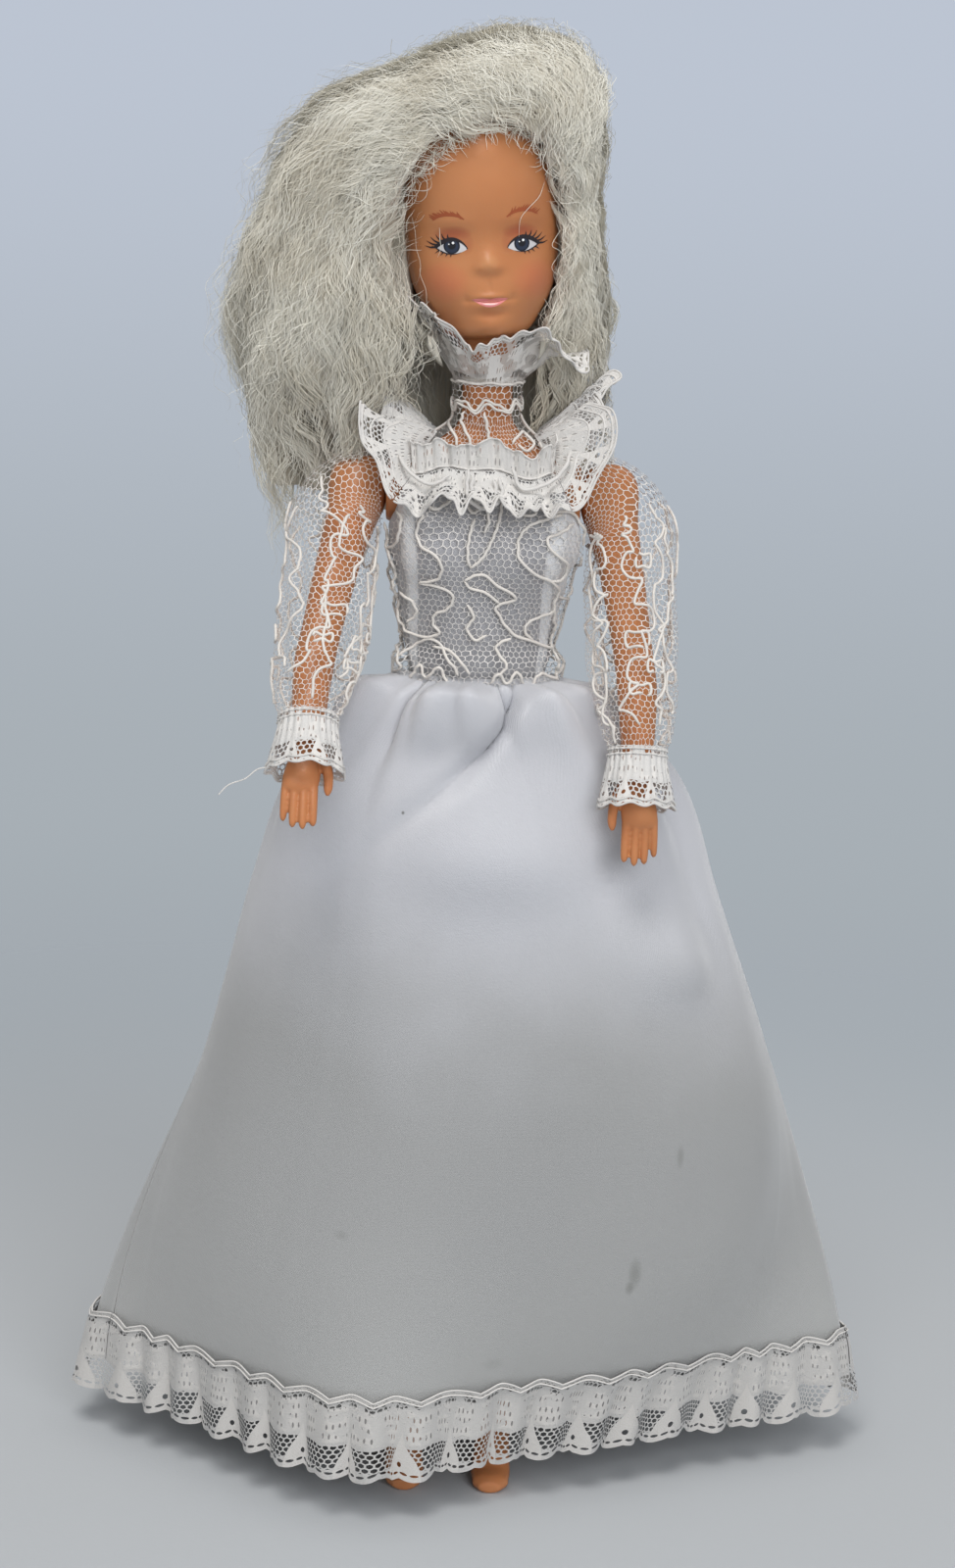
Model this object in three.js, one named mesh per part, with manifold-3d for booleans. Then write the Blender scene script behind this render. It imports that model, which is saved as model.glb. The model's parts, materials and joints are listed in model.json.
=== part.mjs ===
// A fashion doll dressed as a bride: a vinyl and hard plastic doll in a gown of satin and corded lace.
// Millimetres, +Z up. The doll faces -Y, its left hand is on +X, and its toes stand on z = 0.
import * as THREE from "three";
import { mergeVertices } from "three/addons/utils/BufferGeometryUtils.js";
import Module from "manifold-3d";

const wasm = await Module();
wasm.setup();

// Clearances
const fitGap = 0.35; // between pieces that touch, and between layers of cloth
const seamGap = 0.3; // between two panels sewn edge to edge

// Torso. Each rise is from the height named before it.
const hipHeight = 146;
const waistRise = 28;
const bustRise = 31;
const shoulderRise = 11;
const neckBaseRise = 13;
const neckLength = 10;
const waistHeight = hipHeight + waistRise;
const bustHeight = waistHeight + bustRise;
const shoulderHeight = bustHeight + shoulderRise;
const neckBaseHeight = shoulderHeight + neckBaseRise;
const neckTopHeight = neckBaseHeight + neckLength;
const hipHalfWidth = 18.4;
const hipDepth = 10.5;
const waistHalfWidth = 13.2;
const waistDepth = 8.3;
const bustHalfWidth = 18.2;
const bustDepth = 12.2;
const bustProjection = 4.2;
const backDepth = 9.6;
const shoulderHalfWidth = 20.2;
const shoulderDepth = 8.6;
const shoulderBarrelRadius = 6.5;
const neckRadius = 5.3;
const bodyWall = 1.6;

// Neck knob and head
const knobStemRadius = 2.1;
const knobFlangeThickness = 1.1;
const knobNeckRadius = 2.7;
const knobHeadRadius = 3.9;
const headWall = 1.6;
const headHeight = 56;
const headHalfWidth = 15.8;
const headFront = 16;
const headBack = 19.6;
const headRimRadius = 6.2;
const chinHeight = 8.4; // above the rim of the neck hole
const headLean = 5; // degrees towards the doll's right
const headTurn = 4; // degrees towards the doll's left

// Arms
const armLength = 79;
const armRadius = 4.3;
const wristRadius = 2.9;
const armOutset = 7.5; // how far the wrist stands out from the shoulder
const shoulderCapRadius = 7;
const plugNeckRadius = 2.8;
const plugFlangeThickness = 1.6;
const rightArmSwing = 32; // degrees forward of straight down
const leftArmSwing = 18;
const fingerRadius = 1.05;
const fingerLength = 9.2;
const handForward = 4; // how far the bent elbow brings the hand forward

// Legs
const legSpacing = 9.6; // centre of each leg from the middle of the doll
const hipJointRadius = 9.8;
const hipWebHalfWidth = 4;
const thighRadius = 8.3;
const kneeRadius = 5.9;
const calfRadius = 6.1;
const ankleRadius = 3.5;
const hipPinRadius = 1.5;
const coreDiscRadius = 6;
const coreDiscThickness = 5;
const coreRodRadius = 2;
const kneeHeight = 78;
const ankleHeight = 23;
const coreBottom = kneeHeight - 9; // height of the rod's lower end, inside the knee
const footReach = 16.8; // from the shin's middle to the tips of the toes

// Gown
const satinThickness = 0.6;
const laceThickness = 0.5;
const bodiceRise = 3.5; // of the satin's top edge over the shoulder's middle
const bodiceTopHeight = shoulderHeight + bodiceRise;
const bandHeight = 4;
const bandThickness = 0.6;
const waistLap = 0.42; // radians that the ends of a band lap over each other
const neckLap = 0.8;
const snapRadius = 1.7;
const snapThickness = 0.55;
const armholeRadius = 9.4;
const sleeveHalfWidth = 9.2;
const sleeveHalfDepth = 9.6;
const sleeveEnd = armLength - 26; // below the shoulder, along the arm
const cuffLength = 12;
const cuffFlare = 3;
const skirtHalfWidth = 83;
const skirtFrontDepth = 31;
const skirtBackDepth = 44;
const skirtThickness = 0.8;
const skirtGathers = 16;
const gatherDepth = 0.9;
const skirtSway = 1.6;
const skirtOffset = 3.5; // to the doll's left at the hem
const skirtHemHeight = 14; // of the satin above the trim's lower edge
const hemLift = 9.5; // how high the trim hangs above the floor in front
const trimHeight = 18;
const trimThickness = 0.7;
const trimWave = 1.3;
const trimWaves = 26;
const flounceWidth = 11;
const flounceShoulderWidth = 19;
const flounceThickness = 0.6;
const flounceRightSlope = 10; // degrees that it rises over the doll's right shoulder
const flounceLeftSlope = 32;
const shoulderAngle = 0.8; // from the front to the seams of the shoulder pieces, in radians
const collarHeight = 11;
const collarReach = 17.5;
const collarThickness = 0.5;

// Hair
const hairThickness = 5.5;
const hairRollRadius = 6;
const hairRollLift = 4; // of the front roll's middle above the scalp
const hairFallTop = neckTopHeight + 11; // where the shoulder length hair leaves the head
const hairFallLength = 43;
const hairFallThickness = 5;
const hairFallReach = 50; // to the doll's right
const hairFallBack = 26.5; // behind the middle of the neck
const hairSideReach = 45; // of the big side wave from the middle of the head
const hairWaveRadius = 13;
const smallWaveRadius = 4.6;
const smallWaveDepth = 7;

// Materials
const vinyl = { color: 0xd98b5f, roughness: 0.45 };
const hardPlastic = { color: 0xd6906a, roughness: 0.4 };
const innerPlastic = { color: 0xe8e0d2, roughness: 0.5 };
const steel = { color: 0xb8b8ba, roughness: 0.35, metalness: 1 };
const satin = { color: 0xe9e6ea, roughness: 0.35 };
const lace = { color: 0xf2f1ec, roughness: 0.8 };
const hair = { color: 0xe2d9bd, roughness: 0.6 };

const turn = 2 * Math.PI;
const quarter = turn / 4;
const degree = Math.PI / 180;
const vector = (x, y, z) => new THREE.Vector3(x, y, z);
const clamp = (value, low, high) => Math.min(Math.max(value, low), high);
const mix = (a, b, t) => a + (b - a) * t;
const smooth = (low, high, value) => {
  const t = clamp((value - low) / (high - low), 0, 1);
  return t * t * (3 - 2 * t);
};
const bump = (value, centre, width) => Math.exp(-(((value - centre) / width) ** 2));

// A smooth curve through rows of numbers, read at a value of their first column.
function through(rows) {
  const last = rows.length - 1;
  return (at) => {
    let i = 0;
    while (i < last - 1 && at > rows[i + 1][0]) i += 1;
    const from = rows[i];
    const to = rows[i + 1];
    const before = rows[Math.max(i - 1, 0)];
    const after = rows[Math.min(i + 2, last)];
    const span = to[0] - from[0];
    const t = clamp((at - from[0]) / span, 0, 1);
    const rise = t * t * (3 - 2 * t);
    const leave = t * (1 - t) * (1 - t);
    const arrive = t * t * (t - 1);
    return from.slice(1).map((value, k) => {
      const slopeFrom = (to[k + 1] - before[k + 1]) / (to[0] - before[0]);
      const slopeTo = (after[k + 1] - value) / (after[0] - from[0]);
      return mix(value, to[k + 1], rise) + span * (leave * slopeFrom + arrive * slopeTo);
    });
  };
}

// A geometry from points and triangles, turned the right way out.
function closedGeometry(points, triangles) {
  let volume = 0;
  for (let i = 0; i < triangles.length; i += 3) {
    const [a, b, c] = [0, 1, 2].map((k) => points[triangles[i + k]]);
    volume += a.dot(b.clone().cross(c));
  }
  const facing = volume > 0 ? triangles : triangles.slice().reverse();
  const geometry = new THREE.BufferGeometry();
  geometry.setAttribute("position", new THREE.Float32BufferAttribute(points.flatMap((p) => p.toArray()), 3));
  geometry.setIndex(facing);
  return geometry;
}

// A solid through rings of points, closed by a fan at each end.
function ringSolid(rings) {
  const sides = rings[0].length;
  const points = rings.flat();
  const triangles = [];
  for (let i = 0; i < rings.length - 1; i += 1) {
    for (let j = 0; j < sides; j += 1) {
      const next = (j + 1) % sides;
      const [a, b] = [i * sides + j, i * sides + next];
      triangles.push(a, b, b + sides, a, b + sides, a + sides);
    }
  }
  [0, rings.length - 1].forEach((end) => {
    const middle = rings[end].reduce((sum, p) => sum.add(p), vector(0, 0, 0)).divideScalar(sides);
    points.push(middle);
    for (let j = 0; j < sides; j += 1) {
      const pair = [end * sides + j, end * sides + ((j + 1) % sides)];
      triangles.push(points.length - 1, ...(end ? pair : pair.reverse()));
    }
  });
  return closedGeometry(points, triangles);
}

// Evenly spaced values, and the lines of a shared grid that lie between two values, ends included.
const evenly = (from, to, steps) => Array.from({ length: steps + 1 }, (_, i) => mix(from, to, i / steps));
function linesBetween(from, to, lines, nearest) {
  const inner = lines.filter((line) => line > from + nearest && line < to - nearest);
  return [from, ...inner, to];
}

// The unit normal of a surface that is given as a function of two values.
function normalAt(surface, u, v, low = -Infinity, high = Infinity) {
  const step = 1e-3;
  const along = surface(u + step, v).sub(surface(u - step, v));
  const across = surface(u, Math.min(v + step, high)).sub(surface(u, Math.max(v - step, low)));
  return along.cross(across).normalize();
}

// A sheet of cloth or a skin: the space between two offsets of a surface, open or closed on itself
// along u. The normal points out where v climbs, and in where v runs down.
function sheetSolid(surface, us, vs, [inside, outside], closed = false) {
  const [stepsU, stepsV] = [us.length - 1, vs.length - 1];
  const columns = closed ? stepsU : stepsU + 1;
  const layer = (offset) =>
    vs.flatMap((v) =>
      us.slice(0, columns).map((u) => {
        const normal = normalAt(surface, u, v, vs[0], vs[stepsV]);
        return surface(u, v).addScaledVector(normal, offset);
      }),
    );
  const inner = layer(inside);
  const points = [...inner, ...layer(outside)];
  const place = (i, j) => i * columns + (j % columns);
  const far = inner.length;
  const triangles = [];
  const quad = (a, b, c, d) => triangles.push(a, b, c, a, c, d);
  for (let i = 0; i < stepsV; i += 1) {
    for (let j = 0; j < stepsU; j += 1) {
      const [a, b, c, d] = [place(i, j), place(i, j + 1), place(i + 1, j + 1), place(i + 1, j)];
      quad(a + far, b + far, c + far, d + far);
      quad(a, d, c, b);
    }
    if (!closed) {
      const [a, b] = [place(i, 0), place(i + 1, 0)];
      const [c, d] = [place(i, stepsU), place(i + 1, stepsU)];
      quad(a, a + far, b + far, b);
      quad(c, d, d + far, c + far);
    }
  }
  for (let j = 0; j < stepsU; j += 1) {
    const [a, b] = [place(0, j), place(0, j + 1)];
    const [c, d] = [place(stepsV, j), place(stepsV, j + 1)];
    quad(a, b, b + far, a + far);
    quad(c, c + far, d + far, d);
  }
  return closedGeometry(points, triangles);
}

// A limb, finger or lock of hair: rows are [x, y, z, half width, half depth] along its centre line.
function limbSolid(rows, sides, across = vector(1, 0, 0)) {
  const centres = rows.map(([x, y, z]) => vector(x, y, z));
  const rings = rows.map((row, i) => {
    const before = centres[Math.max(i - 1, 0)];
    const after = centres[Math.min(i + 1, rows.length - 1)];
    const deep = after.clone().sub(before).normalize().cross(across).normalize();
    return Array.from({ length: sides }, (_, j) => {
      const angle = (j / sides) * turn;
      return centres[i]
        .clone()
        .addScaledVector(across, row[3] * Math.cos(angle))
        .addScaledVector(deep, row[4] * Math.sin(angle));
    });
  });
  return ringSolid(rings);
}

// Solids for cutting and joining
function solid(geometry) {
  const bare = new THREE.BufferGeometry();
  bare.setAttribute("position", geometry.getAttribute("position"));
  bare.setIndex(geometry.index);
  const merged = mergeVertices(bare, 1e-4);
  return new wasm.Manifold(
    new wasm.Mesh({
      numProp: 3,
      vertProperties: new Float32Array(merged.attributes.position.array),
      triVerts: new Uint32Array(merged.index.array),
    }),
  );
}
function geometryOf(made) {
  const mesh = made.getMesh();
  const geometry = new THREE.BufferGeometry();
  geometry.setAttribute("position", new THREE.Float32BufferAttribute(mesh.vertProperties, 3));
  geometry.setIndex(Array.from(mesh.triVerts));
  return geometry;
}
const cut = (whole, ...tools) =>
  geometryOf(tools.reduce((made, tool) => made.subtract(solid(tool)), solid(whole)));
const join = (whole, ...others) =>
  geometryOf(others.reduce((made, other) => made.add(solid(other)), solid(whole)));
const common = (whole, other) => geometryOf(solid(whole).intersect(solid(other)));

// A round bar along X between two places, and one that stands up between two heights.
function barAlongX(radius, from, to, y, z, sides = 24) {
  return new THREE.CylinderGeometry(radius, radius, Math.abs(to - from), sides)
    .rotateZ(Math.PI / 2)
    .translate((from + to) / 2, y, z);
}
function uprightBar(radius, bottom, top, x = 0, y = 0, sides = 24) {
  return new THREE.CylinderGeometry(radius, radius, top - bottom, sides)
    .rotateX(Math.PI / 2)
    .translate(x, y, (bottom + top) / 2);
}
function block([x0, x1], [y0, y1], [z0, z1]) {
  const middle = [(x0 + x1) / 2, (y0 + y1) / 2, (z0 + z1) / 2];
  return new THREE.BoxGeometry(x1 - x0, y1 - y0, z1 - z0).translate(...middle);
}
const mirrored = (geometry, side) => {
  if (side > 0) return geometry;
  const turned = geometry.clone().scale(-1, 1, 1);
  turned.setIndex(Array.from(turned.index.array).reverse());
  return turned;
};

const far = 400; // reaches past the whole doll, for cutting blocks
const doll = new THREE.Group();
function piece(parent, name, geometry, material) {
  const mesh = new THREE.Mesh(geometry, new THREE.MeshStandardMaterial(material));
  mesh.name = name;
  parent.add(mesh);
  return mesh;
}

// The body's own surface. Angle 0 is the front and a quarter turn is the doll's left.
// Rows are height, half width, depth in front, depth behind.
const bodySection = through([
  [hipHeight - 10, hipHalfWidth * 0.5, hipDepth * 0.75, hipDepth * 0.8],
  [hipHeight - 4, hipHalfWidth * 0.9, hipDepth * 0.9, hipDepth],
  [hipHeight + 3, hipHalfWidth, hipDepth * 0.95, hipDepth * 1.12],
  [mix(hipHeight, waistHeight, 0.55), mix(hipHalfWidth, waistHalfWidth, 0.42), hipDepth * 0.92, hipDepth],
  [waistHeight, waistHalfWidth, waistDepth, waistDepth],
  [
    mix(waistHeight, bustHeight, 0.5),
    mix(waistHalfWidth, bustHalfWidth, 0.45),
    mix(waistDepth, bustDepth, 0.45),
    backDepth,
  ],
  [bustHeight, bustHalfWidth, bustDepth, backDepth],
  [shoulderHeight - 2, shoulderHalfWidth, shoulderDepth * 1.1, backDepth],
  [shoulderHeight + 4, shoulderHalfWidth * 0.93, shoulderDepth * 0.95, shoulderDepth],
  [neckBaseHeight - 4, shoulderHalfWidth * 0.62, neckRadius * 1.2, neckRadius * 1.35],
  [neckBaseHeight, neckRadius * 1.35, neckRadius, neckRadius * 1.1],
  [neckBaseHeight + 3, neckRadius, neckRadius, neckRadius],
  [neckTopHeight, neckRadius, neckRadius, neckRadius],
]);
const roundness = 0.92; // below 1 squares the section a little
const squared = (value) => Math.sign(value) * Math.abs(value) ** roundness;
function bodyPoint(angle, z) {
  const [halfWidth, front, back] = bodySection(z);
  const [s, c] = [Math.sin(angle), Math.cos(angle)];
  const breast =
    bustProjection * bump(z, bustHeight, 7.5) * (bump(angle, 0.62, 0.42) + bump(angle, -0.62, 0.42));
  const depth = c > 0 ? front + breast : back;
  return vector(halfWidth * squared(s), -depth * squared(c), z);
}
const wrapAngle = (angle) => angle - turn * Math.round(angle / turn);

// The cloth on the body shares the body's own lines, so that the layers lie parallel.
const bodyLines = evenly(-turn, turn, 48);
const heightLines = [
  ...evenly(hipHeight - 6, waistHeight, 4),
  ...evenly(waistHeight, bustHeight, 4).slice(1),
  ...evenly(bustHeight, neckBaseHeight - 4, 4).slice(1),
  neckBaseHeight - 1,
  neckBaseHeight + 1,
  neckBaseHeight + 3,
];
const wrappedBody = (angle, z) => bodyPoint(wrapAngle(angle), z);
function bodySolid(low, high, inset = 0, lines = heightLines, sides = 24) {
  const rings = linesBetween(low, high, lines, 0.5).map((z) =>
    evenly(0, turn, sides)
      .slice(0, -1)
      .map((angle) => {
        const normal = normalAt(wrappedBody, angle, z, low, high);
        return wrappedBody(angle, z).addScaledVector(normal, -inset);
      }),
  );
  return ringSolid(rings);
}
function bodyLayer([angleFrom, angleTo], [low, high], offsets) {
  const us = linesBetween(angleFrom, angleTo, bodyLines, 0.02);
  return sheetSolid(wrappedBody, us, linesBetween(low, high, heightLines, 0.5), offsets);
}

// Torso: two hard plastic halves with sockets for the arms, the knob and the hip pin.
const pelvisBottom = hipHeight - 10;
const legCutHeight = hipHeight - 1; // beside the web, the hard torso ends here and the thighs begin
function torsoSolid() {
  const skin = bodySolid(pelvisBottom, neckTopHeight);
  const barrel = barAlongX(shoulderBarrelRadius, -shoulderHalfWidth, shoulderHalfWidth, 0, shoulderHeight, 20);
  const socketReach = hipHalfWidth * 2;
  const socketRadius = hipJointRadius + fitGap;
  const cavityBottom = hipHeight + socketRadius + bodyWall;
  const cavityLines = heightLines.filter((_, i) => i % 2 === 0);
  const cavity = bodySolid(cavityBottom, neckBaseHeight - 2, bodyWall, cavityLines, 12);
  const barrelCavity = barAlongX(
    shoulderBarrelRadius - bodyWall,
    bodyWall - shoulderHalfWidth,
    shoulderHalfWidth - bodyWall,
    0,
    shoulderHeight,
    16,
  );
  return cut(
    join(skin, barrel),
    join(cavity, barrelCavity),
    barAlongX(socketRadius, hipWebHalfWidth, socketReach, 0, hipHeight),
    barAlongX(socketRadius, -socketReach, -hipWebHalfWidth, 0, hipHeight),
    block([hipWebHalfWidth, far], [-far, far], [0, legCutHeight]),
    block([-far, -hipWebHalfWidth], [-far, far], [0, legCutHeight]),
    barAlongX(hipPinRadius + fitGap, -socketReach, socketReach, 0, hipHeight, 12),
    barAlongX(plugNeckRadius + fitGap, -socketReach, socketReach, 0, shoulderHeight, 16),
    uprightBar(knobStemRadius + fitGap, neckBaseHeight - 6, neckTopHeight + 1),
  );
}
const torso = torsoSolid();
const halfSeam = seamGap / 2;
piece(doll, "torso_front", common(torso, block([-far, far], [-far, -halfSeam], [0, far])), hardPlastic);
piece(doll, "torso_back", common(torso, block([-far, far], [halfSeam, far], [0, far])), hardPlastic);
piece(
  doll,
  "hip_pin",
  barAlongX(hipPinRadius, -legSpacing, legSpacing, 0, hipHeight, 16),
  steel,
);

// Neck knob: a stem in the neck, a flange on it, and a mushroom that holds the head.
const knobFlangeBottom = neckTopHeight + fitGap;
const knobFlangeTop = knobFlangeBottom + knobFlangeThickness;
const leanRoom = headRimRadius * Math.sin(headLean * degree);
const headSeat = knobFlangeTop + fitGap + leanRoom; // height of the middle of the head's neck hole
const knobHeadBottom = headSeat + headWall + leanRoom + fitGap;
piece(
  doll,
  "neck_knob",
  new THREE.LatheGeometry(
    [
      [0, neckBaseHeight],
      [knobStemRadius, neckBaseHeight],
      [knobStemRadius, knobFlangeBottom],
      [neckRadius, knobFlangeBottom],
      [neckRadius, knobFlangeTop],
      [knobNeckRadius, knobFlangeTop],
      [knobNeckRadius, knobHeadBottom],
      [knobHeadRadius, knobHeadBottom],
      [knobHeadRadius * 0.9, knobHeadBottom + 1.6],
      [knobHeadRadius * 0.4, knobHeadBottom + 3.6],
      [0, knobHeadBottom + 4],
    ].map(([r, z]) => new THREE.Vector2(r, z)),
    16,
  ).rotateX(Math.PI / 2),
  innerPlastic,
);

// Head: a hollow vinyl shell that leans and turns a little on its knob. Rows are height over the
// neck hole's rim, half width, depth in front, depth behind.
const head = new THREE.Group();
head.position.set(0, 0, headSeat);
head.rotation.set(0, -headLean * degree, headTurn * degree, "ZYX");
doll.add(head);
const faceSpan = headHeight - chinHeight;
const headSection = through([
  [0, headRimRadius, headRimRadius, headRimRadius],
  [chinHeight * 0.45, headRimRadius * 1.02, headRimRadius * 1.05, headRimRadius * 1.1],
  [chinHeight * 0.85, headHalfWidth * 0.45, headFront * 0.66, headBack * 0.46],
  [chinHeight, headHalfWidth * 0.52, headFront * 0.82, headBack * 0.51],
  [chinHeight + faceSpan * 0.06, headHalfWidth * 0.62, headFront * 0.9, headBack * 0.58],
  [chinHeight + faceSpan * 0.17, headHalfWidth * 0.83, headFront * 0.95, headBack * 0.72],
  [chinHeight + faceSpan * 0.29, headHalfWidth * 0.95, headFront * 0.96, headBack * 0.85],
  [chinHeight + faceSpan * 0.42, headHalfWidth, headFront * 0.95, headBack * 0.95],
  [chinHeight + faceSpan * 0.58, headHalfWidth, headFront, headBack],
  [chinHeight + faceSpan * 0.74, headHalfWidth * 0.93, headFront * 0.95, headBack * 0.97],
  [chinHeight + faceSpan * 0.86, headHalfWidth * 0.75, headFront * 0.8, headBack * 0.8],
  [chinHeight + faceSpan * 0.95, headHalfWidth * 0.47, headFront * 0.52, headBack * 0.52],
  [headHeight, headHalfWidth * 0.08, headFront * 0.08, headBack * 0.08],
]);
const noseHeight = chinHeight + faceSpan * 0.31;
function headPoint(angle, z) {
  const [halfWidth, front, back] = headSection(z);
  const [s, c] = [Math.sin(angle), Math.cos(angle)];
  const nose = 2 * bump(z, noseHeight, 3) * bump(wrapAngle(angle), 0, 0.16);
  return vector(halfWidth * s, -(c > 0 ? front + nose : back) * c, z);
}
const headLines = [
  0,
  ...[0.5, 0.85, 1].map((share) => chinHeight * share),
  ...[0.07, 0.17, 0.26, 0.31, 0.38, 0.55, 0.7, 0.83, 0.93].map((share) => chinHeight + faceSpan * share),
  headHeight,
];
function headSolid(low, high, offset, sides = 20) {
  const rings = linesBetween(low, high, headLines, 0.6).map((z) =>
    evenly(0, turn, sides)
      .slice(0, -1)
      .map((angle) => {
        const normal = normalAt(headPoint, angle, z, 0, headHeight);
        return headPoint(angle, z).addScaledVector(normal, offset);
      }),
  );
  return ringSolid(rings);
}
const headCavity = headSolid(headWall, headHeight - headWall, -headWall, 12);
const neckHole = uprightBar(knobNeckRadius + fitGap, -headHeight / 2, headHeight / 4);
piece(head, "head", cut(headSolid(0, headHeight, 0), headCavity, neckHole), vinyl);

// Hair on the head, in the head's own frame: a cap over the scalp, the roll swept up over the
// forehead, and a wave down each side, the big one on the doll's right.
const hairLow = chinHeight + 1.5;
const crownSolid = (extra) => headSolid(hairLow - extra, headHeight, hairThickness + extra, 16);
const scalp = headSolid(0, headHeight, fitGap);
const faceWindow = new THREE.CylinderGeometry(1, 1, headFront * 2, 28)
  .scale(headHalfWidth * 0.84, 1, faceSpan * 0.6)
  .translate(0, -headFront - 2, chinHeight + faceSpan * 0.35);
const hairCap = (extra) => cut(crownSolid(extra), faceWindow);
head.updateMatrixWorld(true);
const underHair = block([-far, far], [-far, far], [0, hairFallTop + fitGap]).applyMatrix4(
  head.matrixWorld.clone().invert(),
);
const rollHeight = headHeight + hairRollLift;
const frontRoll = (extra) => {
  const radius = hairRollRadius + extra;
  return limbSolid(
    [
      [-0.95, -0.5, 0.357, 0.5, 0.5],
      [-0.7, -0.625, 0.214, 0.85, 0.8],
      [-0.253, -0.625, 0.089, 1, 1],
      [0.38, -0.53, 0.009, 1, 1],
      [0.95, -0.406, 0.027, 1.05, 1],
      [1.392, -0.25, 0.161, 0.95, 1],
      [1.52, -0.188, 0.321, 0.6, 0.8],
    ].map(([x, y, down, halfWidth, halfDepth]) => [
      headHalfWidth * x,
      headFront * y,
      rollHeight - headHeight * down,
      radius * halfWidth,
      radius * halfDepth,
    ]),
    10,
    vector(0, 1, 0),
  );
};
const sideWave = (extra) =>
  limbSolid(
    [
      [0.24, 0, headHeight * 0.946, 0.385, 0.385],
      [0.46, 0.022, headHeight * 0.875, 0.69, 0.577],
      [0.66, 0.067, headHeight * 0.714, 0.923, 0.808],
      [0.82, 0.111, headHeight * 0.482, 1, 1],
      [0.84, 0.178, hairLow * 0.6, 0.846, 1.077],
    ].map(([x, y, z, halfWidth, halfDepth]) => [
      -hairSideReach * x,
      hairSideReach * y,
      z,
      hairWaveRadius * halfWidth + extra,
      hairWaveRadius * halfDepth + extra,
    ]),
    12,
    vector(0, 1, 0),
  );
const smallWave = (extra) =>
  limbSolid(
    [
      [1.316, 0.153, headHeight * 0.786, 0.87, 0.857],
      [1.411, 0.255, headHeight * 0.536, 1, 1],
      [1.348, 0.357, hairLow, 0.957, 0.857],
    ].map(([x, y, z, halfWidth, halfDepth]) => [
      headHalfWidth * x,
      headBack * y,
      z,
      smallWaveRadius * halfWidth + extra,
      smallWaveDepth * halfDepth + extra,
    ]),
    10,
    vector(1, 0, 0),
  );
piece(head, "hair_front_roll", cut(frontRoll(0), scalp), hair);
piece(head, "hair_crown", cut(hairCap(0), scalp, frontRoll(fitGap), underHair), hair);
const nextToCap = [hairCap(fitGap), scalp, frontRoll(fitGap), underHair];
piece(head, "hair_right_wave", cut(sideWave(0), ...nextToCap), hair);
piece(head, "hair_left_wave", cut(smallWave(0), ...nextToCap), hair);

// Hair below the head hangs behind the shoulders, outside the collar and the flounce.
const fallRow = through([
  [-1, -1, 0.566],
  [-0.6, -0.68, 0.755],
  [-0.25, -0.32, 0.925],
  [0.2, 0, 1],
  [0.65, 0.28, 0.943],
  [1, 0.52, 0.792],
]);
function hairFallPoint(u, v) {
  const [x, y] = fallRow(u);
  const sway = 0.05 * Math.cos(u * 9 + v * 2) - 0.113 * v;
  const taper = 1 - 0.22 * v;
  const length = hairFallLength * (1 - 0.21 * u * u);
  return vector(hairFallReach * x * taper, hairFallBack * (y + sway), hairFallTop - length * v);
}
const hairFall = sheetSolid(hairFallPoint, evenly(-1, 1, 16), evenly(0, 1, 4), [0, hairFallThickness]);
piece(doll, "hair_fall", hairFall, hair);

// An arm of soft vinyl with its plug, made for the doll's left and mirrored for its right.
function handSolid(wristZ) {
  const forward = -handForward;
  const palm = limbSolid(
    [
      [armOutset, forward, wristZ + fingerRadius, wristRadius, wristRadius * 0.8],
      [armOutset * 1.07, forward * 1.1, wristZ - fingerLength * 0.43, wristRadius * 1.3, wristRadius * 0.75],
      [armOutset * 1.13, forward * 1.2, wristZ - fingerLength * 1.09, wristRadius * 1.42, wristRadius * 0.6],
    ],
    10,
  );
  const knuckleZ = wristZ - fingerLength * 0.98;
  const fingers = [-1.5, -0.5, 0.5, 1.5].map((place, i) => {
    const x = armOutset * 1.13 + place * fingerRadius * 1.75;
    const reach = fingerLength * [0.95, 1, 0.93, 0.76][i];
    const back = fingerRadius * [0, 0, 0.48, 1.24][i];
    const spread = fingerRadius * place;
    return limbSolid(
      [
        [x, forward * 1.2, knuckleZ + fingerRadius, fingerRadius * 1.05, fingerRadius],
        [x + spread * 0.19, forward * 1.2 + back * 0.5, knuckleZ - reach * 0.5, fingerRadius, fingerRadius],
        [x + spread * 0.24, forward * 1.1 + back, knuckleZ - reach, fingerRadius * 0.7, fingerRadius * 0.7],
      ],
      6,
    );
  });
  const thumb = limbSolid(
    [
      [armOutset * 0.707, forward * 1.05, wristZ - fingerLength * 0.33, fingerRadius * 1.3, fingerRadius],
      [armOutset * 0.413, forward * 1.15, wristZ - fingerLength * 0.65, fingerRadius * 1.15, fingerRadius],
      [armOutset * 0.413, forward * 1.2, wristZ - fingerLength * 1.3, fingerRadius * 0.7, fingerRadius * 0.7],
    ],
    6,
  );
  return join(palm, ...fingers, thumb);
}
const armInnerFace = -shoulderCapRadius * 0.8; // from the arm's own shoulder centre
const shoulderCentre = shoulderHalfWidth + fitGap - armInnerFace;
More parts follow.
